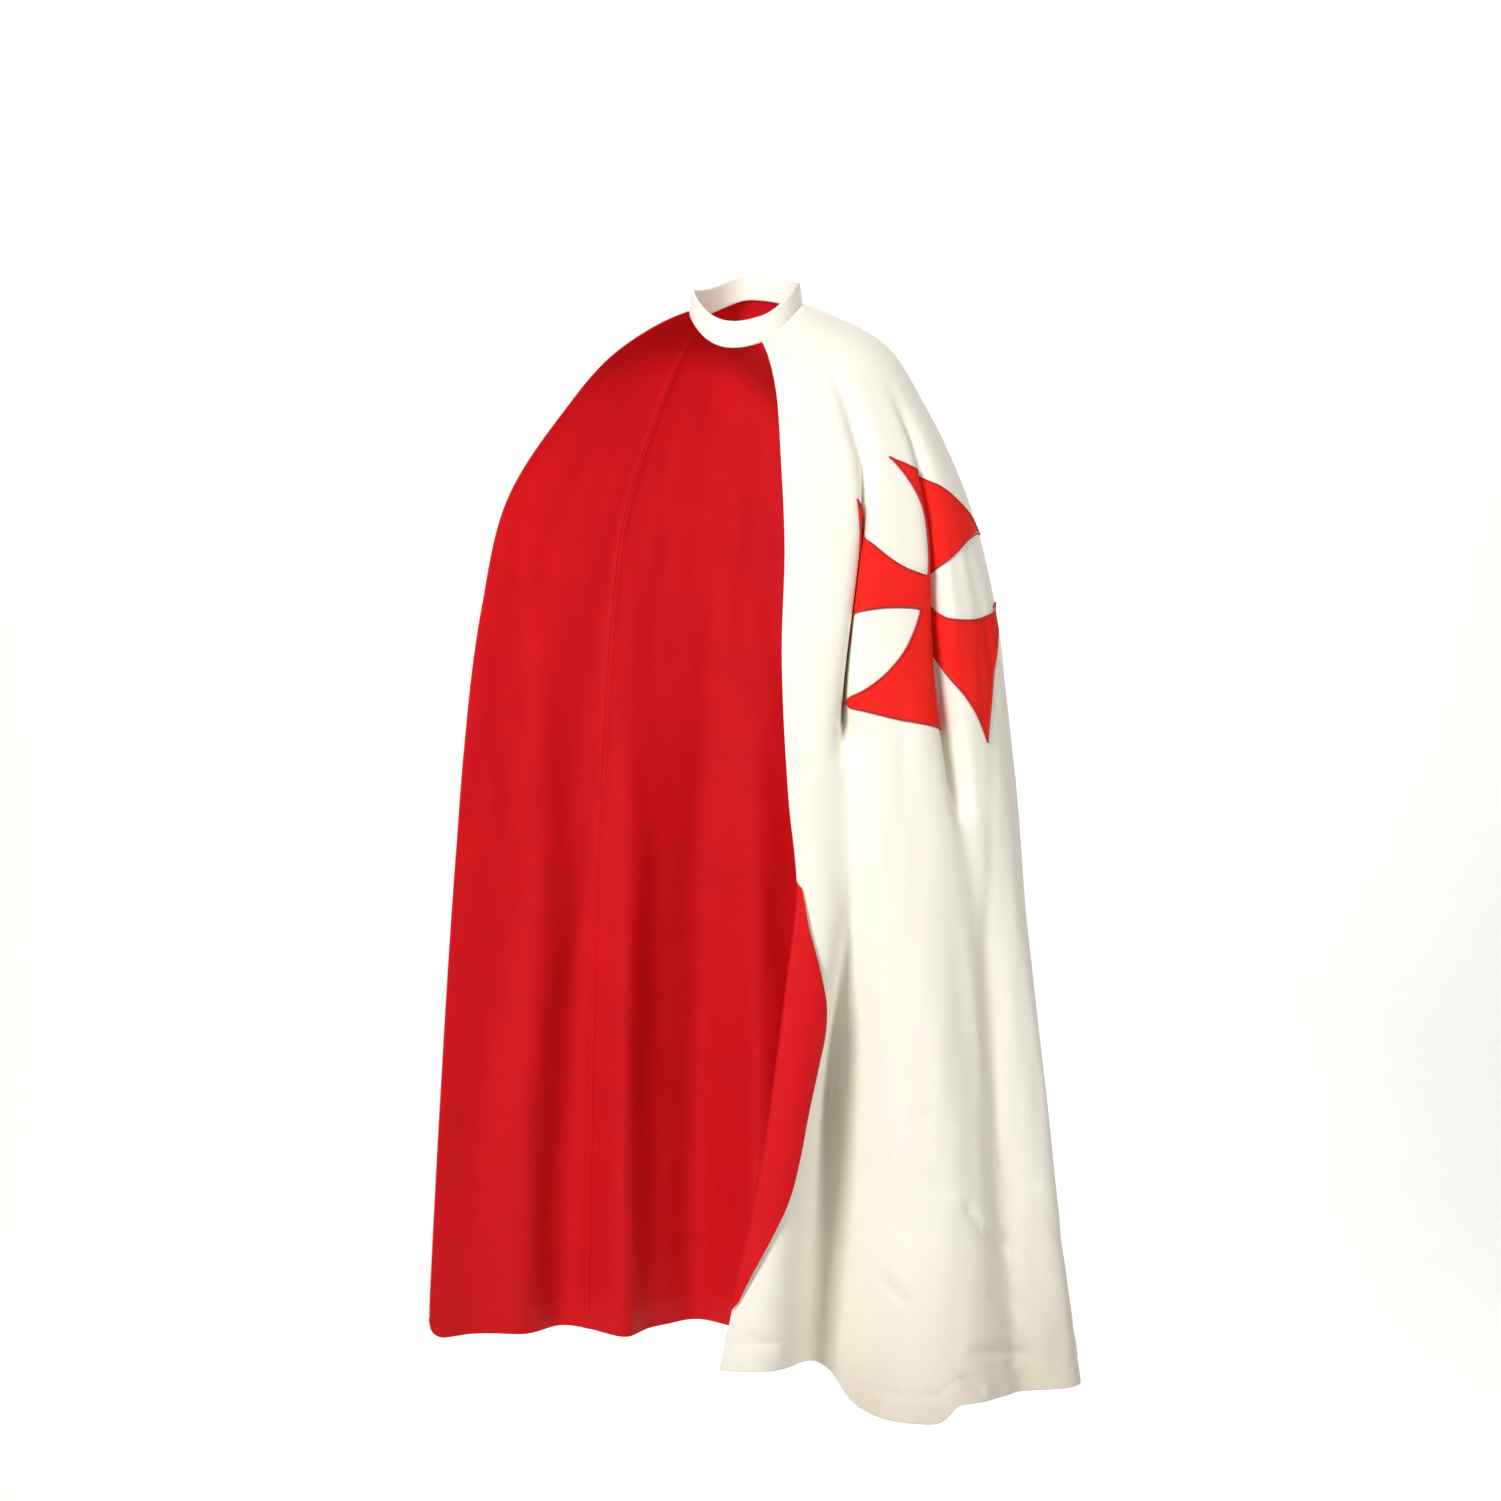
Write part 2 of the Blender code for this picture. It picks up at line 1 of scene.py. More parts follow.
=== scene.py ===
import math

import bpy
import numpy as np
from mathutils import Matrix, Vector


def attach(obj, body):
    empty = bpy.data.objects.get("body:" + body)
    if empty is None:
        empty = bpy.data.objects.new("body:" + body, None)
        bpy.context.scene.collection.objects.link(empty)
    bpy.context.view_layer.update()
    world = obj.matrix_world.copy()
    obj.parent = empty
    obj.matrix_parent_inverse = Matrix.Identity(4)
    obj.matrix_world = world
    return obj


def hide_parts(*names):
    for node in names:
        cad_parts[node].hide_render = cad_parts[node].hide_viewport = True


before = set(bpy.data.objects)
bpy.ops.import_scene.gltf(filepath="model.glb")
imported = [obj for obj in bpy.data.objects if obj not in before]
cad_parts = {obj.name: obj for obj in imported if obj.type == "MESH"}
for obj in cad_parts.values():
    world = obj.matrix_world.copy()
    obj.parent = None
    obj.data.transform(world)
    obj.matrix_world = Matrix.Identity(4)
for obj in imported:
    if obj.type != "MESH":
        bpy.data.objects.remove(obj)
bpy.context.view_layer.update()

# The looks of a floor-length cloak of cream wool lined in red, in its hollow form as worn.
# Metres, +Z up, front towards -Y, the cloak's own left towards +X; the origin is the middle of the
# neck opening. Each piece is made from one draped sheet, worked out from the section and fold tables.
# A bearing of 0 degrees is the front, 90 the left side and 180 the centre back; past that it runs along
# the right wing to WING_END. A run is the length down the cloth from the neckline.

# Cloth and seams; a rim bulges by RIM_BULGE of the wall's thickness
SHELL_THICK = 0.0016
LINING_THICK = 0.0012
BAND_THICK = 0.0030
CROSS_THICK = 0.0012
SEAM_GAP = 0.0003
RIM_BULGE = 0.45

# Sewn pieces, by the bearings of their seams, and the degrees beside each pleat where columns are close
LEFT_SEAM = 122.0
CENTRE_BACK = 180.0
RIGHT_SEAM = 215.0
WING_END = 247.0
PLEAT_SPREAD = 7.0
LIP_END = 13.0
LEFT_STRETCH_STEPS = (20, 46, 14, 34, 46)
BACK_STEPS = 130
RIGHT_STEPS = 60

# Steps, in degrees and metres, over which directions on the sheet are taken
TURN_STEP = 0.25
EDGE_STEP = 0.5
FALL_STEP = 0.002

# Front edge, turned back over the panel for part of its length
ROLL_RADIUS = 0.0045
TIP_RADIUS = 0.0020
ROLL_GROWN = 0.020
STRIP_STEPS = 28
PLAIN_EDGE = 0.006
TIP_EDGE = 0.0025
TIP_RUNS = (0.45, 0.80)
TURN_FULL = 0.006
LEAST_BEND = 1e-4
LAP_BLEND = 0.85

# Front corner, hem and right wing
CORNER_LIFT = 0.050
CORNER_SPREAD = 20.0
CORNER_POWER = 4
HEM_DIP = 0.026
HEM_DIP_BEARING = 26.5
HEM_DIP_SPREAD = 9.0
HEM_DIP_POWER = 8
WING_CURVE = 2.0
WING_CORNER_RADIUS = 0.030
WING_CORNER_FROM = 1.38

# Neckband
BAND_HEIGHT = 0.034
BAND_LEAN = 0.004
BAND_LAP = 0.045
BAND_TUCK = 0.0042
BAND_DROP = 0.005
BAND_SET = 0.0024
BAND_ROWS = 14
BAND_SEWN_STEPS = 150
STRAP_SAG = 0.024
STRAP_STEPS = 70
TUCK_FROM, TUCK_TO = 0.6, 0.95
BAND_THINNING = 0.35
BAND_THINNING_POWER = 4

# Cross pattee, laid on the left front, its places found in a table of the sheet, and its stitched border
CROSS_SPAN = 0.345
CROSS_END = 0.214
CROSS_WAIST = 0.046
CROSS_TURN = 20.0
CROSS_BEARING = 46.3
CROSS_RUN = 0.46
CROSS_STEP = 0.039
CROSS_STEP_END = 0.08
CROSS_DROOP = 0.33
CROSS_DROOP_FROM = 0.07
CROSS_SLOPE = 0.37
CROSS_SLOPE_FROM = -0.042
CROSS_SLOPE_LOW, CROSS_SLOPE_HIGH = 0.04, 0.17
CROSS_ACROSS_STEPS = 44
CROSS_ALONG_STEPS = 60
CROSS_WELD_DIGITS = 7
CROSS_TABLE_ROWS = 120
CROSS_TABLE_COLUMNS = 240
CROSS_TABLE_SAMPLES = 960
BORDER_WIDTH = 0.0034
BORDER_HEIGHT = 0.0013
BORDER_INSET = 0.3
BORDER_STITCH = 0.0012
BORDER_SIDES = 8
BORDER_RIB = 0.84

# Sections down the cloth: each reach is paired with the height it lies at; edge_x is the left front edge
# and wing_y the free right edge.
SECTION_COLUMNS = ("run", "left_x", "left_z", "front_y", "front_z", "back_y", "back_z",
                   "right_x", "right_z", "edge_x", "wing_y")
SECTIONS = (
    (0.000, 0.072, 0.012, -0.085, -0.042, 0.072, 0.030, 0.085, 0.000, 0.019, -0.030),
    (0.035, 0.106, -0.002, -0.100, -0.060, 0.088, 0.010, 0.115, -0.010, 0.027, -0.005),
    (0.120, 0.180, -0.042, -0.125, -0.115, 0.118, -0.060, 0.190, -0.055, 0.040, 0.030),
    (0.220, 0.235, -0.125, -0.148, -0.200, 0.140, -0.160, 0.262, -0.135, 0.046, 0.060),
    (0.350, 0.290, -0.243, -0.163, -0.315, 0.160, -0.290, 0.335, -0.245, 0.051, 0.080),
    (0.505, 0.330, -0.395, -0.172, -0.455, 0.182, -0.440, 0.375, -0.400, 0.047, 0.100),
    (0.710, 0.355, -0.600, -0.176, -0.645, 0.212, -0.635, 0.403, -0.605, 0.053, 0.120),
    (0.850, 0.368, -0.738, -0.179, -0.770, 0.232, -0.765, 0.415, -0.742, 0.063, 0.135),
    (0.990, 0.381, -0.876, -0.182, -0.895, 0.252, -0.895, 0.427, -0.880, 0.050, 0.150),
    (1.295, 0.413, -1.180, -0.193, -1.180, 0.300, -1.180, 0.449, -1.180, 0.014, 0.175),
    (1.565, 0.448, -1.450, -0.206, -1.440, 0.348, -1.476, 0.466, -1.460, -0.037, 0.200),
)

# Rows of the walls: where each stretch starts and its steps, closest where the turned edge starts and ends
HEM_RUN = 1.565
HEM_DEPTH = 0.038
HEM_ROWS = 34
UPPER_ROWS = ((0.0, 96), (0.80, 40), (0.89, 60), (1.395, 20))

# Folds: bearing at four runs down the cloth, half width in degrees high up and at the hem, full depth
# (outward positive), and the runs where the fold starts and is full. FRONT_PLEAT lies beside the flat front
# band and SIDE_PLEAT at the side; both are eased again below the cross, and FRONT_VALLEY opens lower down.
FOLD_RUNS = (0.25, 0.50, 0.95, 1.565)
FOLD_COLUMNS = ("upper", "middle", "lower", "hem", "narrow", "wide", "depth", "start", "full")
DEPTH_COLUMN = FOLD_COLUMNS.index("depth")
FRONT_EASES = (0.57, 0.68)
SIDE_EASES = (0.67, 0.80)
FRONT_PLEAT = (37.5, 24.8, 20.3, 14.9, 3.8, 4.6, -0.062, 0.05, 0.65)
FRONT_EASED = (*FRONT_PLEAT[:DEPTH_COLUMN], 0.052, *FRONT_EASES)
FRONT_VALLEY = (30.0, 25.0, 21.0, 14.2, 1.0, 7.6, -0.122, 0.80, 1.22)
SIDE_PLEAT = (60.0, 48.5, 55.0, 50.0, 3.4, 6.0, -0.054, 0.15, 0.60)
SIDE_EASED = (*SIDE_PLEAT[:DEPTH_COLUMN], 0.050, *SIDE_EASES)
FOLDS = (
    (20.0, 15.0, 11.0, 4.0, 7.0, 7.0, 0.019, 0.10, 1.60),
    FRONT_PLEAT,
    FRONT_EASED,
    FRONT_VALLEY,
    (50.0, 40.0, 39.0, 38.0, 9.0, 9.0, 0.019, 0.35, 1.30),
    SIDE_PLEAT,
    SIDE_EASED,
    (58.0, 58.0, 58.5, 56.0, 5.0, 5.5, -0.012, 0.80, 1.05),
    (75.0, 74.0, 74.0, 73.0, 8.0, 8.0, 0.017, 0.50, 1.50),
    (97.0, 97.0, 92.0, 90.0, 6.0, 6.0, -0.040, 0.50, 1.70),
    (108.0, 108.0, 106.0, 105.0, 6.0, 6.0, 0.027, 0.35, 1.70),
    (122.0, 122.0, 121.0, 120.0, 6.0, 6.0, -0.045, 0.30, 1.70),
    (137.0, 137.0, 136.0, 135.0, 6.0, 6.0, 0.038, 0.40, 1.70),
    (151.0, 151.0, 150.0, 150.0, 6.0, 6.0, -0.048, 0.25, 1.70),
    (165.0, 165.0, 165.0, 164.0, 6.0, 6.0, 0.040, 0.35, 1.70),
    (178.0, 178.0, 178.0, 178.0, 5.5, 5.5, -0.044, 0.30, 1.70),
    (192.0, 192.0, 192.0, 191.0, 5.5, 6.0, 0.044, 0.30, 1.70),
    (208.0, 208.0, 208.5, 209.0, 5.0, 5.5, -0.062, 0.35, 1.70),
    (219.0, 219.0, 219.0, 219.0, 5.0, 5.0, 0.022, 0.40, 1.70),
    (228.0, 228.0, 228.0, 229.0, 4.5, 4.5, -0.022, 0.40, 1.70),
    (239.0, 239.0, 239.0, 239.0, 5.0, 5.0, 0.012, 0.50, 1.70),
)

# Lips that lean over the pleats: degrees from the pleat's middle, half width in degrees, metres of lean
# along the sheet, and the runs where the lean starts, is full, eases and is gone
LIP_COLUMNS = ("ahead", "spread", "lean", "start", "full", "eases", "eased")
LIPS = (
    (FRONT_PLEAT, (-4.5, 3.5, 0.012, 0.15, 0.45, *FRONT_EASES)),
    (FRONT_PLEAT, (6.0, 3.8, -0.026, 0.15, 0.45, *FRONT_EASES)),
    (SIDE_PLEAT, (-4.0, 3.0, 0.012, 0.20, 0.45, *SIDE_EASES)),
)

# Width of red lining that the turned-back left front edge shows, by run
TURN_COLUMNS = ("run", "width")
TURN = (
    (0.815, 0.000),
    (0.865, 0.011),
    (0.897, 0.019),
    (0.962, 0.039),
    (1.013, 0.050),
    (1.058, 0.053),
    (1.103, 0.050),
    (1.180, 0.044),
    (1.245, 0.043),
    (1.310, 0.040),
    (1.364, 0.032),
    (1.414, 0.021),
    (1.455, 0.010),
    (1.490, 0.000),
)

# Soft creases: a line from one bearing and run to another, its half width and its depth in metres
CREASE_TAPER = 4
CREASE_COLUMNS = ("bearing", "run", "to_bearing", "to_run", "half_width", "depth")
CREASES = (
    (41.8, 1.294, 46.5, 1.338, 0.008, -0.0046),
    (45.0, 1.330, 57.2, 1.381, 0.007, -0.0056),
    (44.0, 1.312, 56.0, 1.360, 0.009, 0.0030),
    (23.8, 1.373, 28.5, 1.408, 0.007, -0.0050),
    (25.2, 1.362, 30.0, 1.396, 0.009, 0.0026),
    (31.2, 1.236, 39.2, 1.287, 0.010, -0.0036),
    (32.0, 1.157, 41.8, 1.200, 0.012, -0.0032),
    (24.5, 1.294, 33.8, 1.326, 0.012, -0.0030),
    (55.5, 1.247, 68.0, 1.294, 0.010, -0.0032),
    (46.0, 1.416, 59.5, 1.467, 0.010, -0.0040),
    (39.8, 1.494, 62.5, 1.522, 0.010, -0.0060),
    (37.5, 1.526, 43.2, 1.553, 0.008, -0.0040),
    (9.5, 1.471, 10.2, 1.545, 0.005, -0.0050),
    (-1.0, 1.512, 4.0, 1.534, 0.010, -0.0030),
    (68.0, 1.330, 80.0, 1.390, 0.014, -0.0026),
    (140.0, 1.300, 148.0, 1.360, 0.014, -0.0026),
    (168.0, 1.380, 174.0, 1.420, 0.012, 0.0022),
    (196.0, 1.340, 203.0, 1.400, 0.013, -0.0022),
)

# Fine unevenness of the hanging cloth: wavelength across and down, height; the runs where it starts
# and is full, and the range of each wave's pace
RIPPLES = ((0.110, 0.420, 0.0010), (0.060, 0.160, 0.0004))
RIPPLE_RUNS = (0.05, 0.60)
RIPPLE_PACES = (0.7, 1.3)
WAVES_PER_RIPPLE = 7
RIPPLE_SEED = 11

# Sewn lines pressed into the cloth; the hem's groove comes and goes in two slow waves along it
HEM_GROOVE = 0.0022
HEM_GROOVE_WIDTH = 0.0070
HEM_WAVES = ((0.23, 1.3), (0.61, 0.4))
HEM_WAVE_MIDDLE, HEM_WAVE_SWING = 0.65, 0.35
HEM_SWELL = 0.0006
HEM_SWELL_WIDTH = 0.021
SEAM_GROOVE = 0.0014
SEAM_GROOVE_WIDTH = 0.0045

# Stitches
STITCH_LENGTH = 0.0030
STITCH_PITCH = 0.0060
STITCH_RADIUS = 0.00045
STITCH_SIDES = 6
STITCH_PROFILE = ((-0.5, 0.25), (-0.32, 0.85), (0.0, 1.0), (0.32, 0.85), (0.5, 0.25))
STITCH_SINK = 0.6
EDGE_STITCH_INSET = 0.006
HEM_STITCH_SAMPLES = 1500
BAND_STITCH_ROW = 2

# Colours of the cloths and the sizes of their patterns in metres. A twill rib is really 1.2 mm wide and
# felt fibres far less: both are drawn two or three times as coarse, so that they show. A slanting wave
# pattern of scale 1 repeats every SLANTED_WAVE metres.
WOOL_PALE, WOOL_DEEP, WOOL_FLECK, WOOL_SHEEN = "#F8F6EC", "#F2EFE2", "#DFD8C4", "#FFF6E0"
WOOL_MOTTLE, WOOL_NAP, WOOL_RIB = 0.12, 0.0022, 0.0030
WOOL_NAP_HEIGHT, WOOL_RIB_HEIGHT = 0.0006, 0.0004
WOOL_FLECK_SHARE = 0.22
# The next colour and its three runs are painted shade: a darker, warmer tone mixed into the wool towards
# the hem, up to the last share.
HEM_PAINTED_SHADE = "#B9A47C"
PAINTED_SHADE_FROM, PAINTED_SHADE_FULL, PAINTED_SHADE_MOST = 1.26, 1.58, 0.62
SLANTED_WAVE = 0.444
LINING_PALE, LINING_DEEP, LINING_SHEEN = "#DC0F1B", "#C60B16", "#FF5A50"
LINING_MOTTLE, LINING_THREAD, LINING_SLUB = 0.10, 0.0014, 0.15
LINING_THREAD_HEIGHT = 0.0004
FELT_PALE, FELT_DEEP, FELT_SHEEN = "#F22A1E", "#E41A18", "#FF7A60"
FELT_MOTTLE, FELT_NAP, FELT_NAP_HEIGHT = 0.05, 0.0018, 0.0006
CREAM_THREAD_PALE, CREAM_THREAD_DEEP = "#F2ECD8", "#D8CFB6"
RED_THREAD_PALE, RED_THREAD_DEEP = "#D21A1C", "#9C0C14"
THREAD_PLY = 0.0012
PAPER_PALE, PAPER_DEEP = "#FAFAF8", "#F7F7F5"
PAPER_GRAIN = 0.004

# Floor with a sweep behind; lights by name, place, target, width in metres and power in watts; and the
# camera at the photograph's angle, its pitch in degrees below level, lens and sensor in millimetres
FLOOR_LEVEL = -2.40
FLOOR_REACH = 12.0
SWEEP_START, SWEEP_RADIUS, SWEEP_STEPS, SWEEP_TOP = 3.0, 3.0, 24, 9.0
WORLD_STRENGTH = 0.16
WORLD_TINT = "#FFF3E8"
LIGHTS = (
    ("key_light", (-1.5, -3.0, 1.0), (0.0, 0.0, -0.6), 1.0, 120.0),
    ("fill_light", (2.7, -2.2, 1.4), (0.1, 0.0, -0.4), 1.5, 50.0),
    ("back_light", (1.6, 3.0, 1.4), (0.0, 0.0, -0.6), 1.6, 58.0),
    ("backdrop_light", (0.0, 2.4, 3.2), (0.0, 5.5, 1.6), 4.0, 275.0),
)
CAMERA_PLACE = (0.0, -4.0, -0.35)
CAMERA_PITCH = 3.45
CAMERA_LENS = 70.54
CAMERA_SENSOR = 36.0


def column(table, columns, name):
    """One named column of a table, as an array."""
    place = columns.index(name)
    return np.array([row[place] for row in table])


def smooth_through(at, knots, values):
    """Values on a smooth curve through the knots, with the slope at each knot from its neighbours."""
    slopes = np.gradient(values, knots)
    at = np.clip(at, knots[0], knots[-1])
    left = np.clip(np.searchsorted(knots, at, side="right") - 1, 0, len(knots) - 2)
    step = knots[left + 1] - knots[left]
    f = (at - knots[left]) / step
    rise = f * f * (3 - 2 * f)
    return ((1 - rise) * values[left] + rise * values[left + 1]
            + step * f * (1 - f) ** 2 * slopes[left]
            - step * f * f * (1 - f) * slopes[left + 1])


def section(name, run):
    """One size of the section at a run down the cloth."""
    runs = column(SECTIONS, SECTION_COLUMNS, "run")
    return smooth_through(run, runs, column(SECTIONS, SECTION_COLUMNS, name))


def ramp(value, low, high):
    """A soft step from 0 at low to 1 at high."""
    f = np.clip((value - low) / (high - low), 0.0, 1.0)
    return f * f * (3 - 2 * f)


def unit(vectors):
    """The vectors at length 1."""
    return vectors / np.linalg.norm(vectors, axis=-1, keepdims=True)


def level_out(along):
    """Level direction square to a path; it points outward where bearings grow along the path."""
    return unit(np.stack((along[..., 1], -along[..., 0], 0 * along[..., 0]), axis=-1))


def edge_bearing(run):
    """Bearing of the left front edge."""
    return np.degrees(np.arcsin(section("edge_x", run) / section("left_x", run)))


def plain_drape(bearing, run):
    """The draped sheet before its folds."""
    turn = np.radians(np.minimum(bearing, CENTRE_BACK))
    side = np.sin(turn) ** 2
    front = np.cos(turn) > 0
    reach = np.where(front, -section("front_y", run), section("back_y", run))
    level = np.where(front, section("front_z", run), section("back_z", run))
    x = section("left_x", run) * np.sin(turn)
    y = -reach * np.cos(turn)
    z = side * section("left_z", run) + (1 - side) * level

    wing = np.maximum((bearing - CENTRE_BACK) / (WING_END - CENTRE_BACK), 0.0)
    x = x - section("right_x", run) * wing
    y = y - (section("back_y", run) - section("wing_y", run)) * wing ** WING_CURVE
    z = z + (section("right_z", run) - section("back_z", run)) * ramp(wing, 0.0, 1.0)

    from_edge = (bearing - edge_bearing(run)) / CORNER_SPREAD
    from_dip = (bearing - HEM_DIP_BEARING) / HEM_DIP_SPREAD
    lift = CORNER_LIFT * np.exp(-from_edge ** CORNER_POWER) - HEM_DIP * np.exp(-from_dip ** HEM_DIP_POWER)
    z = z + lift * ramp(run, FOLD_RUNS[2], FOLD_RUNS[3])
    return np.stack((x, y, z), axis=-1)


def fold_bearing(fold, run):
    """Bearing of a fold's middle at a run down the cloth."""
    return smooth_through(run, np.array(FOLD_RUNS), np.array(fold[:len(FOLD_RUNS)]))


def fold_depth(bearing, run):
    """How far the folds move the sheet outward."""
    depth = np.zeros(np.broadcast(bearing, run).shape)
    for fold in FOLDS:
        named = dict(zip(FOLD_COLUMNS, fold))
        widening = ramp(run, FOLD_RUNS[1], FOLD_RUNS[3])
        half_width = named["narrow"] + (named["wide"] - named["narrow"]) * widening
        off = (bearing - fold_bearing(fold, run)) / half_width
        depth = depth + named["depth"] * ramp(run, named["start"], named["full"]) * np.exp(-off ** 2)
    return depth


def lip_lean(bearing, run):
    """How far the pleats' lips lean along the sheet."""
    lean = np.zeros(np.broadcast(bearing, run).shape)
    for pleat, row in LIPS:
        lip = dict(zip(LIP_COLUMNS, row))
        off = (bearing - fold_bearing(pleat, run) - lip["ahead"]) / lip["spread"]
        easing = 1 - ramp(run, lip["eases"], lip["eased"])
        lean = lean + lip["lean"] * ramp(run, lip["start"], lip["full"]) * easing * np.exp(-off ** 2)
    return lean


def drape(bearing, run):
    """The draped sheet with its folds."""
    plain = plain_drape(bearing, run)
    across = plain_drape(bearing + TURN_STEP, run) - plain_drape(bearing - TURN_STEP, run)
    along = unit(across * np.array((1.0, 1.0, 0.0)))
    moved = level_out(across) * fold_depth(bearing, run)[..., None]
    return plain + moved + along * lip_lean(bearing, run)[..., None]


def facing(sheet, bearing, run):
    """Outward direction of a sheet, given as a function of bearing and run."""
    across = sheet(bearing + TURN_STEP, run) - sheet(bearing - TURN_STEP, run)
    below = np.minimum(run + FALL_STEP, HEM_RUN)
    above = np.maximum(run - FALL_STEP, 0.0)
    return unit(np.cross(sheet(bearing, below) - sheet(bearing, above), across))


def metres_per_degree(run):
    """Rough width of one degree of bearing, for relief whose size is given in metres."""
    return section("left_x", run) * math.pi / 180


def ripple(bearing, run):
    """Seeded unevenness of the hanging sheet: a few slanted waves for each row of RIPPLES."""
    draw = np.random.default_rng(RIPPLE_SEED)
    across = bearing * metres_per_degree(np.array(HEM_RUN))
    height = np.zeros(np.broadcast(bearing, run).shape)
    for wide, tall, amount in RIPPLES:
        for _ in range(WAVES_PER_RIPPLE):
            slant = draw.uniform(-1.0, 1.0)
            pace = draw.uniform(*RIPPLE_PACES)
            phase = draw.uniform(0.0, 2 * math.pi)
            swing = 2 * math.pi * pace * (across / wide + slant * run / tall) + phase
            height = height + amount / math.sqrt(WAVES_PER_RIPPLE) * np.sin(swing)
    return height * ramp(run, *RIPPLE_RUNS)


def crease_relief(bearing, run):
    """Low relief of the soft creases, each fading towards its ends."""
    relief = np.zeros(np.broadcast(bearing, run).shape)
    wide = metres_per_degree(run)
    for row in CREASES:
        named = dict(zip(CREASE_COLUMNS, row))
        span = np.stack(((named["to_bearing"] - named["bearing"]) * wide,
                         named["to_run"] - named["run"] + 0 * wide))
        off = np.stack(((bearing - named["bearing"]) * wide, run - named["run"] + 0 * wide * bearing))
        share = np.clip((span * off).sum(0) / (span * span).sum(0), 0.0, 1.0)
        apart = np.sqrt(((off - span * share) ** 2).sum(0))
        taper = 1 - (2 * share - 1) ** CREASE_TAPER
        relief = relief + named["depth"] * taper * np.exp(-(apart / named["half_width"]) ** 2)
    return relief


def sewn_relief(bearing, run):
    """Grooves that the hem and the two long seams press into the cloth."""
    from_hem = run - (HEM_RUN - HEM_DEPTH)
    uneven = np.ones(np.shape(bearing))
    for pace, phase in HEM_WAVES:
        uneven = uneven * (HEM_WAVE_MIDDLE + HEM_WAVE_SWING * np.sin(pace * bearing + phase))
    groove = -HEM_GROOVE * uneven * np.exp(-(from_hem / HEM_GROOVE_WIDTH) ** 2)
    swell = HEM_SWELL * ramp(from_hem, 0.0, HEM_SWELL_WIDTH)
    relief = groove + swell
    for seam in (LEFT_SEAM, RIGHT_SEAM):
        from_seam = (bearing - seam) * metres_per_degree(run)
        relief = relief - SEAM_GROOVE * np.exp(-(from_seam / SEAM_GROOVE_WIDTH) ** 2)
    return relief


def cloth(bearing, run):
    """The draped sheet with its folds, ripples, creases and sewn lines."""
    relief = ripple(bearing, run) + crease_relief(bearing, run) + sewn_relief(bearing, run)
    return drape(bearing, run) + facing(plain_drape, bearing, run) * relief[..., None]


def turned_edge(run):
    """The strip beyond the left front fold line, from the free edge to the fold line."""
    width = smooth_through(run, column(TURN, TURN_COLUMNS, "run"), column(TURN, TURN_COLUMNS, "width"))
    width = np.maximum(width, 0.0)
    turned = ramp(width, 0.0, TURN_FULL)
    roll_radius = TIP_RADIUS + (ROLL_RADIUS - TIP_RADIUS) * ramp(width, 0.0, ROLL_GROWN)
    plain = PLAIN_EDGE + (TIP_EDGE - PLAIN_EDGE) * ramp(run, *TIP_RUNS)
    roll = plain + turned * (math.pi * roll_radius - plain)
    lap = turned * np.maximum(width - roll_radius, 0.0)
    angle = math.pi * turned
    bearing = edge_bearing(run)
    edge = cloth(bearing, run)
    out = facing(cloth, bearing, run)
    beyond = unit(edge - cloth(bearing + EDGE_STEP, run))
    degree = np.linalg.norm(cloth(bearing + 1.0, run) - edge, axis=-1)
    settled = ramp(turned, LAP_BLEND, 1.0)[..., None]
    points = []
    for k in range(STRIP_STEPS, 0, -1):
        along = k / STRIP_STEPS * (roll + lap)
        on_roll = np.minimum(along, roll)
        past = along - on_roll
        bend = np.maximum(angle * on_roll / roll, LEAST_BEND)
        radius = on_roll / bend
        swung = edge + beyond * (radius * np.sin(bend))[..., None]
        swung = swung + out * (radius * (1 - np.cos(bend)))[..., None]
        heading = beyond * np.cos(bend)[..., None] + out * np.sin(bend)[..., None]
        straight = swung + heading * past[..., None]
        over = bearing + past / degree
        lapped = cloth(over, run) + facing(cloth, over, run) * (2 * roll_radius)[..., None]
        lying = settled * (past > 0)[..., None]
        points.append(straight * (1 - lying) + lapped * lying)
    return np.stack(points, axis=1)


def wall_runs():
    """Runs of a wall's rows: the stretches of UPPER_ROWS, then HEM_ROWS across twice the hem's depth."""
    starts = [start for start, _ in UPPER_ROWS] + [HEM_RUN - 2 * HEM_DEPTH]
    upper = [np.linspace(low, high, steps, endpoint=False)
             for low, high, (_, steps) in zip(starts, starts[1:], UPPER_ROWS)]
    return np.concatenate(upper + [np.linspace(starts[-1], HEM_RUN, HEM_ROWS + 1)])


def left_bearings(run):
    """Bearings of the left front's columns at each run: close together across its two pleats."""
    front, side = fold_bearing(FRONT_PLEAT, run), fold_bearing(SIDE_PLEAT, run)
    marks = (edge_bearing(run), front - PLEAT_SPREAD, front + LIP_END,
             side - PLEAT_SPREAD, side + PLEAT_SPREAD, LEFT_SEAM + 0 * run)
    stretches = [low[:, None] + (high - low)[:, None] * np.arange(steps) / steps
                 for low, high, steps in zip(marks, marks[1:], LEFT_STRETCH_STEPS)]
    return np.concatenate(stretches + [marks[-1][:, None]], axis=1)


def panel_points(low, high, steps):
    """Points of the sheet between two bearings; low is None at the left front edge."""
    runs = wall_runs()
    if low is None:
        bearing = left_bearings(runs)
        run = runs[:, None] + 0 * bearing
        return np.concatenate((turned_edge(runs), cloth(bearing, run)), axis=1)
    bearing, run = np.meshgrid(np.linspace(low, high, steps + 1), runs)
    inset = WING_CORNER_RADIUS - (WING_END - bearing) * metres_per_degree(run)
    inset = np.clip(inset, 0.0, WING_CORNER_RADIUS)
    rounding = WING_CORNER_RADIUS - np.sqrt(WING_CORNER_RADIUS ** 2 - inset ** 2)
    run = run - rounding * ramp(run, WING_CORNER_FROM, HEM_RUN)
    return cloth(bearing, run)


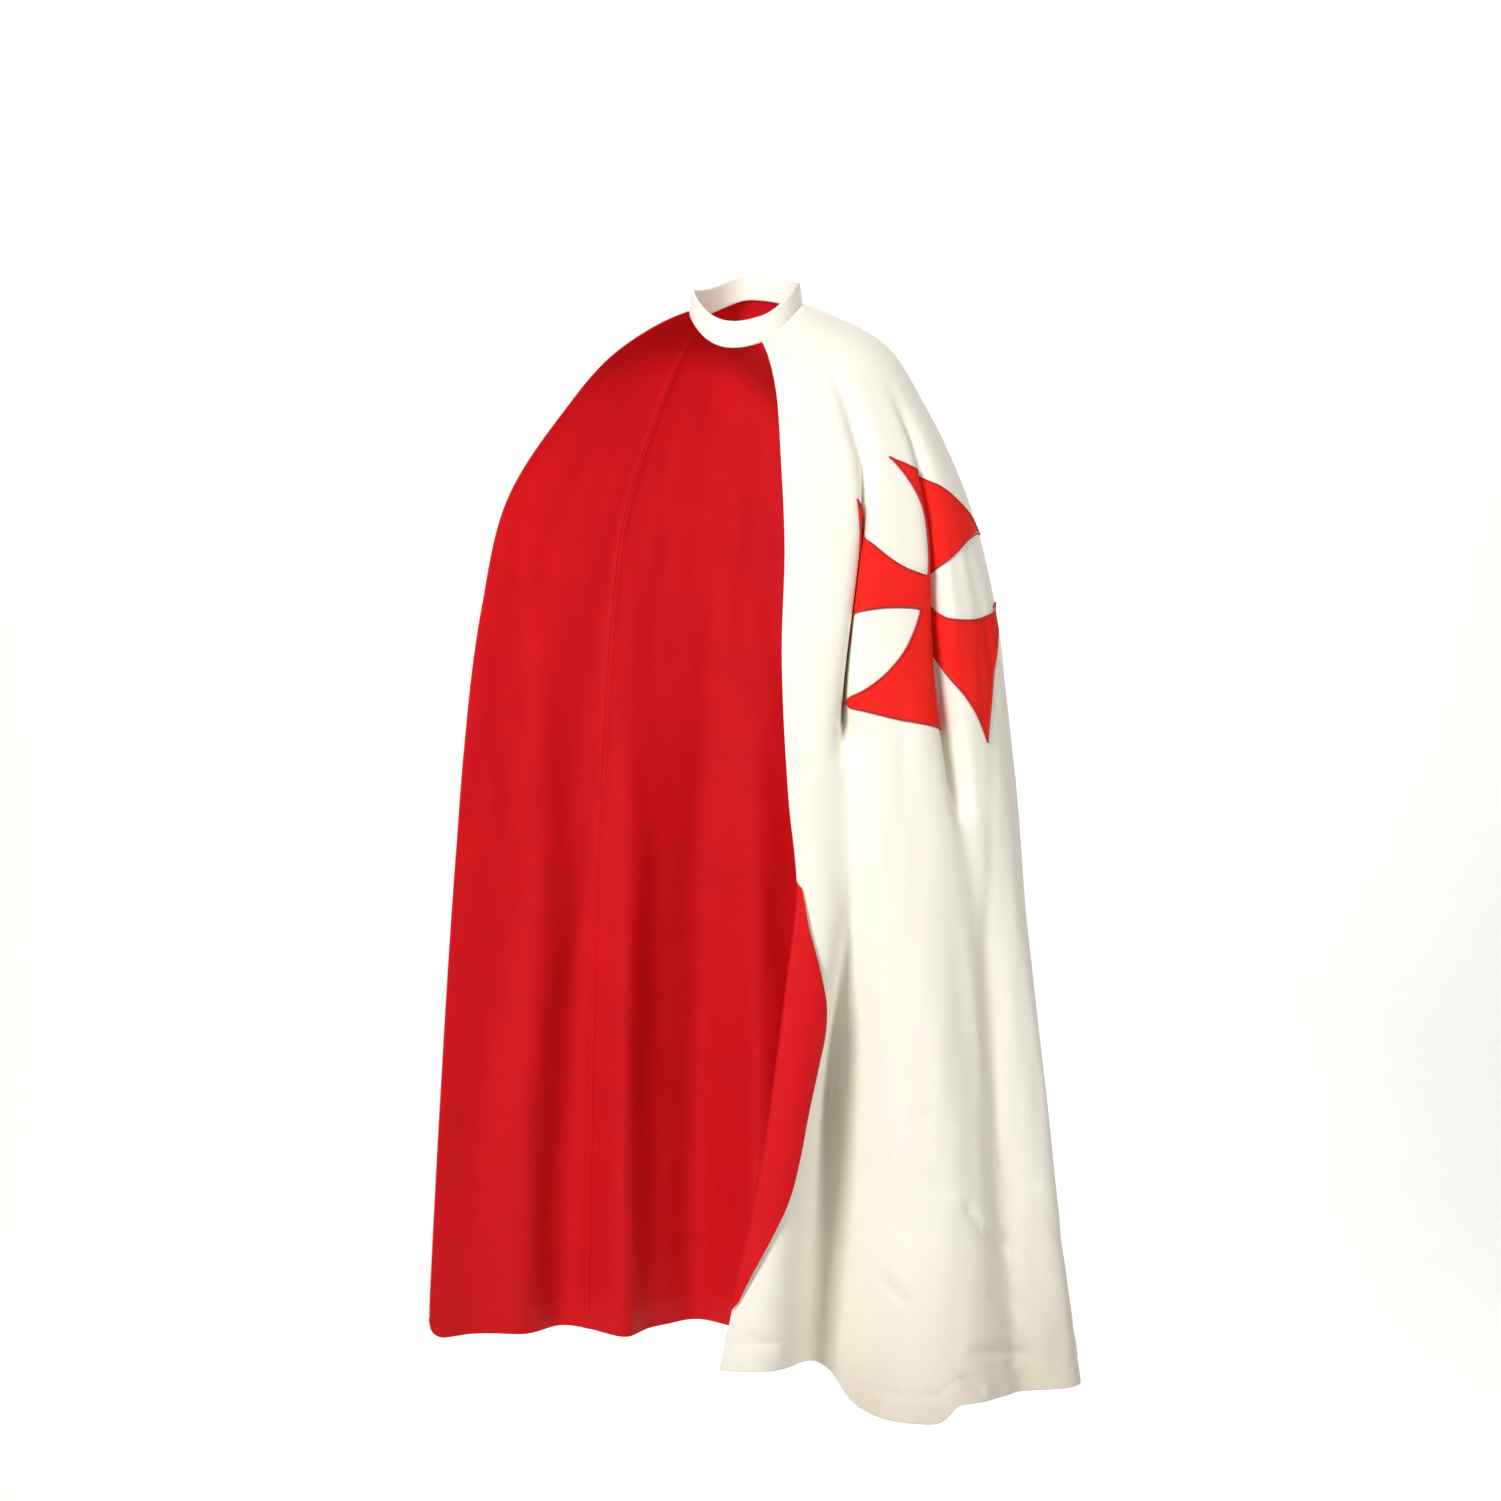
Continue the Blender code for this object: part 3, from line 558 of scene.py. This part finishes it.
def outward(points):
    """Outward direction of a grid of points."""
    return unit(np.cross(np.gradient(points, axis=0), np.gradient(points, axis=1)))


def part_seams(points, low_seam, high_seam):
    """Draws a panel's edges in by half the seam gap."""
    points = points.copy()
    if low_seam:
        points[:, 0] += unit(points[:, 1] - points[:, 0]) * SEAM_GAP / 2
    if high_seam:
        points[:, -1] += unit(points[:, -2] - points[:, -1]) * SEAM_GAP / 2
    return points


def lengths_along(points, axis):
    """Length from the first point along one axis of a grid."""
    steps = np.linalg.norm(np.diff(points, axis=axis), axis=-1)
    start = np.zeros_like(np.take(steps, [0], axis=axis))
    return np.cumsum(np.concatenate((start, steps), axis=axis), axis=axis)


def add_piece(name, points, faces, material, cloth_places=None):
    """A mesh piece; cloth_places gives each point its place on the flat cloth, in metres, for the weave."""
    mesh = bpy.data.meshes.new(name)
    mesh.from_pydata(points, [], faces)
    mesh.materials.append(material)
    if cloth_places is not None:
        layer = mesh.uv_layers.new(name="cloth")
        corners = np.zeros(len(mesh.loops), dtype=np.int64)
        mesh.loops.foreach_get("vertex_index", corners)
        layer.data.foreach_set("uv", np.asarray(cloth_places)[corners].ravel())
    mesh.validate()
    mesh.shade_smooth()
    piece = bpy.data.objects.new(name, mesh)
    bpy.context.scene.collection.objects.link(piece)
    return piece


def rounded_wall(name, middle, low, high, material):
    """A closed wall from low to high off a grid of points, with a rounded rim."""
    rows, columns = middle.shape[:2]
    count = rows * columns
    out = outward(middle)
    inner = middle + out * np.asarray(low)[..., None]
    outer = middle + out * np.asarray(high)[..., None]
    index = np.arange(count).reshape(rows, columns)
    a, b = index[:-1, :-1].ravel(), index[:-1, 1:].ravel()
    c, d = index[1:, 1:].ravel(), index[1:, :-1].ravel()
    outside = np.stack((a, d, c, b), axis=1) + count
    inside = np.stack((a, b, c, d), axis=1)
    rim = np.concatenate((index[0, :-1], index[:-1, -1], index[-1, :0:-1], index[:0:-1, 0]))
    leaving = np.zeros_like(middle)
    leaving[0] += unit(middle[0] - middle[1])
    leaving[-1] += unit(middle[-1] - middle[-2])
    leaving[:, 0] += unit(middle[:, 0] - middle[:, 1])
    leaving[:, -1] += unit(middle[:, -1] - middle[:, -2])
    leaving = unit(leaving.reshape(-1, 3)[rim])
    thick = np.linalg.norm((outer - inner).reshape(-1, 3)[rim], axis=1)
    crown = ((inner + outer) / 2).reshape(-1, 3)[rim] + leaving * (thick * RIM_BULGE)[:, None]
    ring = np.arange(len(rim)) + 2 * count
    after, after_ring = np.roll(rim, -1), np.roll(ring, -1)
    sides = np.concatenate((np.stack((after, rim, ring, after_ring), axis=1),
                            np.stack((after_ring, ring, rim + count, after + count), axis=1)))
    points = np.concatenate((inner.reshape(-1, 3), outer.reshape(-1, 3), crown))
    faces = np.concatenate((inside, outside, sides))
    places = np.stack((lengths_along(middle, 1), lengths_along(middle, 0)), axis=-1).reshape(-1, 2)
    places = np.concatenate((places, places, places[rim]))
    return add_piece(name, points.tolist(), faces.tolist(), material, places)


def linear(hex_colour):
    """Linear colour of an sRGB hex value."""
    channels = [int(hex_colour[i:i + 2], 16) / 255 for i in (1, 3, 5)]
    return tuple(c / 12.92 if c <= 0.04045 else ((c + 0.055) / 1.055) ** 2.4 for c in channels) + (1.0,)


def node(tree, kind, sockets, **settings):
    """Adds a node: sockets take values or other nodes' outputs, settings are its own properties."""
    made = tree.nodes.new(kind)
    for name, value in settings.items():
        setattr(made, name, value)
    for name, value in sockets.items():
        if isinstance(value, bpy.types.NodeSocket):
            tree.links.new(value, made.inputs[name])
        else:
            made.inputs[name].default_value = value
    return made


def new_material(name, finish):
    """A material with its constant finish on the shader's own sockets."""
    material = bpy.data.materials.new(name)
    material.use_nodes = True
    shader = material.node_tree.nodes["Principled BSDF"]
    for socket, value in finish.items():
        shader.inputs[socket].default_value = value
    return material, material.node_tree, shader


def fulled_wool_twill():
    """Cream wool twill, fulled: matt, its slanting ribs all but hidden by the nap, with painted shade
    making it darker and warmer towards the hem.
    """
    material, tree, shader = new_material("fulled_wool_twill", {
        "Roughness": 0.92, "IOR": 1.45, "Specular IOR Level": 0.25,
        "Sheen Weight": 0.18, "Sheen Roughness": 0.5, "Sheen Tint": linear(WOOL_SHEEN)})
    place = node(tree, "ShaderNodeUVMap", {}, uv_map="cloth").outputs["UV"]
    fleece = node(tree, "ShaderNodeTexNoise", {"Vector": place, "Scale": 1 / WOOL_MOTTLE, "Detail": 5.0})
    fibre = node(tree, "ShaderNodeTexNoise", {"Vector": place, "Scale": 1 / WOOL_NAP, "Detail": 3.0})
    ribs = node(tree, "ShaderNodeTexWave", {"Vector": place, "Scale": SLANTED_WAVE / WOOL_RIB,
                                            "Distortion": 1.5, "Detail": 1.0}, bands_direction="DIAGONAL")
    shade = node(tree, "ShaderNodeMixRGB", {"Fac": fleece.outputs[0], "Color1": linear(WOOL_DEEP),
                                            "Color2": linear(WOOL_PALE)})
    flecked = node(tree, "ShaderNodeMixRGB", {"Fac": fibre.outputs[0], "Color1": shade.outputs[0],
                                              "Color2": linear(WOOL_FLECK)})
    softened = node(tree, "ShaderNodeMixRGB", {"Fac": WOOL_FLECK_SHARE, "Color1": shade.outputs[0],
                                               "Color2": flecked.outputs[0]})
    down = node(tree, "ShaderNodeSeparateXYZ", {"Vector": place})
    # Painted shade: the wool turns darker and warmer towards the hem, patchy by the fleece noise.
    near_hem = node(tree, "ShaderNodeMapRange", {"Value": down.outputs["Y"], "From Min": PAINTED_SHADE_FROM,
                                                 "From Max": PAINTED_SHADE_FULL, "To Max": PAINTED_SHADE_MOST},
                    interpolation_type="SMOOTHSTEP")
    painted_shade = node(tree, "ShaderNodeMath", {0: near_hem.outputs[0], 1: fleece.outputs[0]},
                operation="MULTIPLY")
    hem_shaded = node(tree, "ShaderNodeMixRGB", {"Fac": painted_shade.outputs[0], "Color1": softened.outputs[0],
                                             "Color2": linear(HEM_PAINTED_SHADE)})
    tree.links.new(hem_shaded.outputs[0], shader.inputs["Base Color"])
    weave = node(tree, "ShaderNodeBump", {"Height": ribs.outputs[0], "Strength": 0.18,
                                          "Distance": WOOL_RIB_HEIGHT})
    nap = node(tree, "ShaderNodeBump", {"Height": fibre.outputs[0], "Strength": 0.35,
                                        "Distance": WOOL_NAP_HEIGHT, "Normal": weave.outputs[0]})
    tree.links.new(nap.outputs[0], shader.inputs["Normal"])
    return material


def red_cotton_sateen():
    """Red cotton sateen lining: long floats give a smooth face with a low, soft sheen."""
    material, tree, shader = new_material("red_cotton_sateen", {
        "Roughness": 0.62, "IOR": 1.5, "Specular IOR Level": 0.16,
        "Sheen Weight": 0.04, "Sheen Roughness": 0.4, "Sheen Tint": linear(LINING_SHEEN)})
    place = node(tree, "ShaderNodeUVMap", {}, uv_map="cloth").outputs["UV"]
    dye = node(tree, "ShaderNodeTexNoise", {"Vector": place, "Scale": 1 / LINING_MOTTLE, "Detail": 4.0})
    slubs = node(tree, "ShaderNodeMapping", {"Vector": place, "Scale": (1.0, LINING_SLUB, 1.0)})
    threads = node(tree, "ShaderNodeTexNoise", {"Vector": slubs.outputs[0], "Scale": 1 / LINING_THREAD,
                                                "Detail": 2.0})
    shade = node(tree, "ShaderNodeMixRGB", {"Fac": dye.outputs[0], "Color1": linear(LINING_DEEP),
                                            "Color2": linear(LINING_PALE)})
    tree.links.new(shade.outputs[0], shader.inputs["Base Color"])
    weave = node(tree, "ShaderNodeBump", {"Height": threads.outputs[0], "Strength": 0.25,
                                          "Distance": LINING_THREAD_HEIGHT})
    tree.links.new(weave.outputs[0], shader.inputs["Normal"])
    return material


def red_wool_felt():
    """Scarlet wool felt: no weave, a dense short nap, colour a little patchy from the dye."""
    material, tree, shader = new_material("red_wool_felt", {
        "Roughness": 0.85, "IOR": 1.45, "Specular IOR Level": 0.15,
        "Sheen Weight": 0.08, "Sheen Roughness": 0.5, "Sheen Tint": linear(FELT_SHEEN)})
    place = node(tree, "ShaderNodeUVMap", {}, uv_map="cloth").outputs["UV"]
    dye = node(tree, "ShaderNodeTexNoise", {"Vector": place, "Scale": 1 / FELT_MOTTLE, "Detail": 4.0})
    fibre = node(tree, "ShaderNodeTexNoise", {"Vector": place, "Scale": 1 / FELT_NAP, "Detail": 3.0})
    shade = node(tree, "ShaderNodeMixRGB", {"Fac": dye.outputs[0], "Color1": linear(FELT_DEEP),
                                            "Color2": linear(FELT_PALE)})
    tree.links.new(shade.outputs[0], shader.inputs["Base Color"])
    nap = node(tree, "ShaderNodeBump", {"Height": fibre.outputs[0], "Strength": 0.4,
                                        "Distance": FELT_NAP_HEIGHT})
    tree.links.new(nap.outputs[0], shader.inputs["Normal"])
    return material


def sewing_thread(name, pale, deep):
    """Twisted sewing thread: smooth, slightly bright, its ply a fine change of colour along it."""
    material, tree, shader = new_material(name, {
        "Roughness": 0.55, "IOR": 1.5, "Specular IOR Level": 0.35, "Sheen Weight": 0.1})
    place = node(tree, "ShaderNodeTexCoord", {}).outputs["Object"]
    ply = node(tree, "ShaderNodeTexNoise", {"Vector": place, "Scale": 1 / THREAD_PLY, "Detail": 1.0})
    shade = node(tree, "ShaderNodeMixRGB", {"Fac": ply.outputs[0], "Color1": linear(deep),
                                            "Color2": linear(pale)})
    tree.links.new(shade.outputs[0], shader.inputs["Base Color"])
    return material


def pale_studio_paper():
    """Matt white paper for the floor: no gloss and a faint, even grain."""
    material, tree, shader = new_material("pale_studio_paper", {
        "Roughness": 0.95, "Specular IOR Level": 0.1})
    grain = node(tree, "ShaderNodeTexNoise", {"Scale": 1 / PAPER_GRAIN, "Detail": 2.0})
    shade = node(tree, "ShaderNodeMixRGB", {"Fac": grain.outputs[0], "Color1": linear(PAPER_DEEP),
                                            "Color2": linear(PAPER_PALE)})
    tree.links.new(shade.outputs[0], shader.inputs["Base Color"])
    return material


def tube_faces(count, rings, sides, closed):
    """Faces of rings of points joined into a tube, for each of count tubes."""
    faces = []
    last = rings if closed else rings - 1
    for tube in range(count):
        start = tube * rings * sides
        for ring in range(last):
            near, far = start + ring * sides, start + (ring + 1) % rings * sides
            for side in range(sides):
                after = (side + 1) % sides
                faces.append((near + side, near + after, far + after, far + side))
        if not closed:
            faces.append(tuple(start + side for side in reversed(range(sides))))
            faces.append(tuple(start + (rings - 1) * sides + side for side in range(sides)))
    return faces


def between(at, lengths, values):
    """Values along a path at the given lengths from its start."""
    return np.stack([np.interp(at, lengths, values[:, k]) for k in range(values.shape[1])], axis=-1)


def stitch_row(name, path, out, material):
    """Separate stitches along a path on the cloth, each pulled in at its ends."""
    lengths = lengths_along(path, 0)
    at = np.arange(STITCH_PITCH, lengths[-1] - STITCH_PITCH, STITCH_PITCH)
    centre = between(at, lengths, path)
    half = STITCH_LENGTH / 2
    ahead = unit(between(at + half, lengths, path) - between(at - half, lengths, path))
    up = unit(between(at, lengths, out))
    side = np.cross(ahead, up)
    around = np.arange(STITCH_SIDES) * 2 * math.pi / STITCH_SIDES
    rings = []
    for shift, size in STITCH_PROFILE:
        middle = centre + ahead * shift * STITCH_LENGTH + up * STITCH_RADIUS * (size - STITCH_SINK)
        ring = side[:, None] * np.cos(around)[None, :, None] - up[:, None] * np.sin(around)[None, :, None]
        rings.append(middle[:, None] + ring * STITCH_RADIUS * size)
    points = np.stack(rings, axis=1).reshape(-1, 3)
    faces = tube_faces(len(at), len(STITCH_PROFILE), STITCH_SIDES, False)
    return add_piece(name, points.tolist(), faces, material)


def neckband_path():
    """Lower edge of the band: round the neckline from the left front, then across the neck and inside."""
    bearings = np.linspace(float(edge_bearing(np.array(0.0))), WING_END, BAND_SEWN_STEPS + 1)[:-1]
    sewn = drape(bearings, 0 * bearings)
    sewn = sewn - level_out(np.gradient(sewn, axis=0)) * BAND_SET
    sewn[:, 2] -= BAND_DROP
    first, last = sewn[0], sewn[-1]
    from_angle = math.atan2(last[0], -last[1])
    to_angle = math.atan2(first[0], -first[1])
    from_radius = math.hypot(last[0], last[1])
    to_radius = math.hypot(first[0], first[1])
    lap = BAND_LAP / to_radius / (to_angle - from_angle)
    along = np.linspace(0.0, 1.0 + lap, STRAP_STEPS + 1)[1:]
    angle = from_angle + (to_angle - from_angle) * along
    crossed = np.minimum(along, 1.0)
    tuck = BAND_TUCK * ramp(along, TUCK_FROM, TUCK_TO)
    radius = from_radius + (to_radius - from_radius) * crossed - tuck
    height = last[2] + (first[2] - last[2]) * crossed - STRAP_SAG * np.sin(math.pi * crossed)
    strap = np.stack((radius * np.sin(angle), -radius * np.cos(angle), height), axis=-1)
    return np.concatenate((sewn, strap))


def neckband_grid():
    """Middle of the band, its rows from the top edge down."""
    path = neckband_path()
    out = level_out(np.gradient(path, axis=0))
    rises = np.linspace(1.0, 0.0, BAND_ROWS + 1)
    rows = [path + np.array((0.0, 0.0, BAND_HEIGHT * rise)) - out * BAND_LEAN * rise for rise in rises]
    return np.stack(rows), rises


def cross_arm_half_width(reach):
    """Half the width of an arm at a distance from the cross's centre: the sides are arcs of one circle."""
    waist, end, span = CROSS_WAIST / 2, CROSS_END / 2, CROSS_SPAN / 2
    run, rise = span - waist, end - waist
    radius = (run ** 2 + rise ** 2) / (2 * rise)
    return waist + radius - np.sqrt(radius ** 2 - (reach - waist) ** 2)


def flat_cross():
    """Points and faces of the flat cross: a square and four arms, welded along the square's sides."""
    waist, span = CROSS_WAIST / 2, CROSS_SPAN / 2
    even = np.linspace(-1.0, 1.0, CROSS_ACROSS_STEPS + 1)
    reach = np.linspace(waist, span, CROSS_ALONG_STEPS + 1)
    middle = np.stack(np.meshgrid(even * waist, even * waist), axis=-1)
    half_width = cross_arm_half_width(reach)
    arm = np.stack((even[None] * half_width[:, None], reach[:, None] + 0 * even[None]), axis=-1)
    patches = [middle]
    for cos, sin in ((1, 0), (0, 1), (-1, 0), (0, -1)):
        p, q = arm[..., 0], arm[..., 1]
        patches.append(np.stack((p * cos - q * sin, p * sin + q * cos), axis=-1))
    known, places, faces = {}, [], []
    for patch in patches:
        index = np.zeros(patch.shape[:2], dtype=int)
        for place in np.ndindex(index.shape):
            key = tuple(np.round(patch[place], CROSS_WELD_DIGITS) + 0.0)
            if key not in known:
                known[key] = len(places)
                places.append(patch[place])
            index[place] = known[key]
        corners = (index[:-1, :-1], index[:-1, 1:], index[1:, 1:], index[1:, :-1])
        faces += np.stack(corners, axis=-1).reshape(-1, 4).tolist()
    return np.array(places), faces


def rim_edges(faces):
    """Edges of the faces that belong to one face only, in the faces' own direction."""
    edges = {(a, b) for face in faces for a, b in zip(face, face[1:] + face[:1])}
    return {a: b for a, b in edges if (b, a) not in edges}


def cross_droop(across, up):
    """How much further down the cloth a point of the cross lies, the more so towards the side."""
    lower = CROSS_STEP * ramp(across, 0.0, CROSS_STEP_END)
    lower = lower + CROSS_DROOP * np.maximum(across - CROSS_DROOP_FROM, 0.0)
    upper = CROSS_SLOPE * np.maximum(across - CROSS_SLOPE_FROM, 0.0)
    return lower + (upper - lower) * ramp(up, CROSS_SLOPE_LOW, CROSS_SLOPE_HIGH)


def lay_cross(flat):
    """Places on the cloth, and its facing there, of points of the flat cross, laid through the pleats."""
    turn = math.radians(CROSS_TURN)
    p, q = flat[:, 0], flat[:, 1]
    across = p * math.cos(turn) + q * math.sin(turn)
    up = q * math.cos(turn) - p * math.sin(turn)
    run = CROSS_RUN - up + cross_droop(across, up)
    runs = np.linspace(run.min(), run.max(), CROSS_TABLE_ROWS)
    reach = np.linspace(across.min(), across.max(), CROSS_TABLE_COLUMNS)
    table = []
    for level in runs:
        bearings = np.linspace(float(edge_bearing(level)), LEFT_SEAM, CROSS_TABLE_SAMPLES)
        lengths = lengths_along(drape(bearings, level + 0 * bearings), 0)
        middle = CROSS_BEARING + fold_bearing(SIDE_PLEAT, level) - fold_bearing(SIDE_PLEAT, CROSS_RUN)
        table.append(np.interp(np.interp(middle, bearings, lengths) + reach, lengths, bearings))
    table = np.stack(table)
    row = (run - runs[0]) / (runs[1] - runs[0])
    place = (across - reach[0]) / (reach[1] - reach[0])
    i = np.clip(row.astype(int), 0, CROSS_TABLE_ROWS - 2)
    j = np.clip(place.astype(int), 0, CROSS_TABLE_COLUMNS - 2)
    f, g = row - i, place - j
    upper = table[i, j] * (1 - g) + table[i, j + 1] * g
    lower = table[i + 1, j] * (1 - g) + table[i + 1, j + 1] * g
    bearing = upper * (1 - f) + lower * f
    return cloth(bearing, run), facing(cloth, bearing, run)


def cross_felt(felt):
    """The cross itself, lying on the shell."""
    flat, faces = flat_cross()
    points, out = lay_cross(flat)
    low = SEAM_GAP / 2 + SHELL_THICK + SEAM_GAP
    under, over = points + out * low, points + out * (low + CROSS_THICK)
    count = len(flat)
    rim = rim_edges(faces)
    top = [[i + count for i in face] for face in faces]
    bottom = [face[::-1] for face in faces]
    sides = [(b + count, a + count, a, b) for a, b in sorted(rim.items())]
    solid = np.concatenate((under, over)).tolist()
    places = np.concatenate((flat, flat))
    return add_piece("cross_applique_felt", solid, bottom + top + sides, felt, places)


def cross_border(thread):
    """Satin stitch round the cross: a low cord over its edge, ribbed by the stitches."""
    flat, faces = flat_cross()
    rim = rim_edges(faces)
    order = [min(rim)]
    while rim[order[-1]] != order[0]:
        order.append(rim[order[-1]])
    loop = flat[order + order[:1]]
    lengths = lengths_along(loop, 0)
    rings = int(lengths[-1] / BORDER_STITCH) * 2
    at = np.arange(rings) * lengths[-1] / rings
    edge = between(at, lengths, loop)
    ahead = unit(np.roll(edge, -2, axis=0) - np.roll(edge, 2, axis=0))
    inward = np.stack((-ahead[:, 1], ahead[:, 0]), axis=1)
    points, out = lay_cross(np.concatenate((edge, edge + inward * BORDER_WIDTH)))
    on_edge, inside, up = points[:rings], points[rings:], out[:rings]
    low = SEAM_GAP / 2 + SHELL_THICK + SEAM_GAP + CROSS_THICK
    centre = on_edge * (1 - BORDER_INSET) + inside * BORDER_INSET + up * low
    across = unit(inside - on_edge)
    around = np.arange(BORDER_SIDES) * 2 * math.pi / BORDER_SIDES
    rib = np.where(np.arange(rings) % 2 == 0, 1.0, BORDER_RIB)[:, None, None]
    ring = (across[:, None] * np.cos(around)[None, :, None] * BORDER_WIDTH / 2
            + up[:, None] * np.sin(around)[None, :, None] * BORDER_HEIGHT)
    made = (centre[:, None] + ring * rib).reshape(-1, 3)
    faces = tube_faces(1, rings, BORDER_SIDES, True)
    return add_piece("cross_satin_stitch", made.tolist(), faces, thread)


def along_free_edge(grid, last, high):
    """A path down a panel just inside its first or last column, lifted off it by high, and its facing."""
    order = -1 if last else 1
    grid, out = grid[:, ::order], outward(grid)[:, ::order]
    inset = np.array([EDGE_STITCH_INSET])
    rows = list(zip(lengths_along(grid, 1), grid, out))
    path = np.concatenate([between(inset, across, places) for across, places, _ in rows])
    up = unit(np.concatenate([between(inset, across, facings) for across, _, facings in rows]))
    return path + up * high, up


def place_piece(piece, nodes=()):
    """Every piece moves with the one body; nodes are the solids it stands for."""
    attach(piece, "root")
    if nodes:
        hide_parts(*nodes)
    return piece


def make_panel(name, low, high, steps, wool, sateen, thread):
    """Shell, lining and stitches between two bearings; low is None at the left front edge."""
    low_seam, high_seam = low is not None, high < WING_END
    grid = part_seams(panel_points(low, high, steps), low_seam, high_seam)
    half = SEAM_GAP / 2
    face = half + SHELL_THICK
    shell = rounded_wall(name + "_wool", grid, half, face, wool)
    place_piece(shell, [name + "_shell"])
    inner = rounded_wall(name + "_sateen", grid, -(half + LINING_THICK), -half, sateen)
    place_piece(inner, [name + "_lining"])

    hem_run = np.array(HEM_RUN - HEM_DEPTH)
    start = low if low_seam else float(edge_bearing(hem_run))
    bearing = np.linspace(start, high, HEM_STITCH_SAMPLES)
    run = hem_run + 0 * bearing
    up = facing(cloth, bearing, run)
    hem = stitch_row(name + "_hem_stitches", cloth(bearing, run) + up * face, up, thread)
    stitching = [place_piece(hem)]
    if not (low_seam and high_seam):
        path, up = along_free_edge(grid, low_seam, face)
        edge = stitch_row(name + "_edge_stitches", path, up, thread)
        stitching.append(place_piece(edge))


def make_neckband(wool, thread):
    """The doubled band, thinner towards its two long edges, and a row of stitches along each."""
    middle, rises = neckband_grid()
    plump = BAND_THICK / 2 * (1 - BAND_THINNING * (2 * rises[:, None] - 1) ** BAND_THINNING_POWER)
    band = rounded_wall("neckband_wool", middle, -plump, plump, wool)
    place_piece(band, ["neckband"])
    out = outward(middle)
    for name, row in (("upper", BAND_STITCH_ROW), ("lower", BAND_ROWS - BAND_STITCH_ROW)):
        path = middle[row] + out[row] * BAND_THICK / 2
        stitches = stitch_row("neckband_" + name + "_stitches", path, out[row], thread)
        place_piece(stitches)


def make_cross(felt, thread):
    """The cross and its stitched border."""
    cross = place_piece(cross_felt(felt), ["cross_applique"])
    border = place_piece(cross_border(thread))


def make_cloak():
    """The whole cloak: three lined panels, the neckband and the cross."""
    wool = fulled_wool_twill()
    sateen = red_cotton_sateen()
    felt = red_wool_felt()
    cream_thread = sewing_thread("cream_sewing_thread", CREAM_THREAD_PALE, CREAM_THREAD_DEEP)
    red_thread = sewing_thread("scarlet_embroidery_thread", RED_THREAD_PALE, RED_THREAD_DEEP)
    make_panel("left_front", None, LEFT_SEAM, 0, wool, sateen, cream_thread)
    make_panel("back", LEFT_SEAM, RIGHT_SEAM, BACK_STEPS, wool, sateen, cream_thread)
    make_panel("right_front", RIGHT_SEAM, WING_END, RIGHT_STEPS, wool, sateen, cream_thread)
    make_neckband(wool, cream_thread)
    make_cross(felt, red_thread)


def make_floor():
    """A pale floor that sweeps up behind."""
    profile = [(-FLOOR_REACH, FLOOR_LEVEL), (SWEEP_START, FLOOR_LEVEL)]
    for k in range(1, SWEEP_STEPS + 1):
        turn = math.pi / 2 * k / SWEEP_STEPS
        profile.append((SWEEP_START + SWEEP_RADIUS * math.sin(turn),
                        FLOOR_LEVEL + SWEEP_RADIUS * (1 - math.cos(turn))))
    profile.append((profile[-1][0], SWEEP_TOP))
    points = [(x, y, z) for y, z in profile for x in (-FLOOR_REACH, FLOOR_REACH)]
    faces = [(2 * k, 2 * k + 1, 2 * k + 3, 2 * k + 2) for k in range(len(profile) - 1)]
    add_piece("studio_floor", points, faces, pale_studio_paper())


def light_stage():
    """A faint warm surround and the lamps."""
    scene = bpy.context.scene
    world = bpy.data.worlds.new("soft_studio")
    world.use_nodes = True
    scene.world = world
    background = world.node_tree.nodes["Background"]
    background.inputs["Color"].default_value = linear(WORLD_TINT)
    background.inputs["Strength"].default_value = WORLD_STRENGTH
    for name, place, target, size, power in LIGHTS:
        lamp = bpy.data.lights.new(name, "AREA")
        lamp.size = size
        lamp.energy = power
        made = bpy.data.objects.new(name, lamp)
        made.location = place
        made.rotation_euler = (Vector(target) - Vector(place)).to_track_quat("-Z", "Y").to_euler()
        scene.collection.objects.link(made)


def place_camera():
    """The camera at the photograph's angle."""
    scene = bpy.context.scene
    eye = bpy.data.cameras.new("camera")
    eye.sensor_width = CAMERA_SENSOR
    eye.lens = CAMERA_LENS
    camera = bpy.data.objects.new("camera", eye)
    camera.location = CAMERA_PLACE
    camera.rotation_euler = (math.radians(90.0 - CAMERA_PITCH), 0.0, 0.0)
    scene.collection.objects.link(camera)
    scene.camera = camera
    scene.view_settings.view_transform = "Standard"


make_cloak()
make_floor()
light_stage()
place_camera()
bpy.context.view_layer.update()
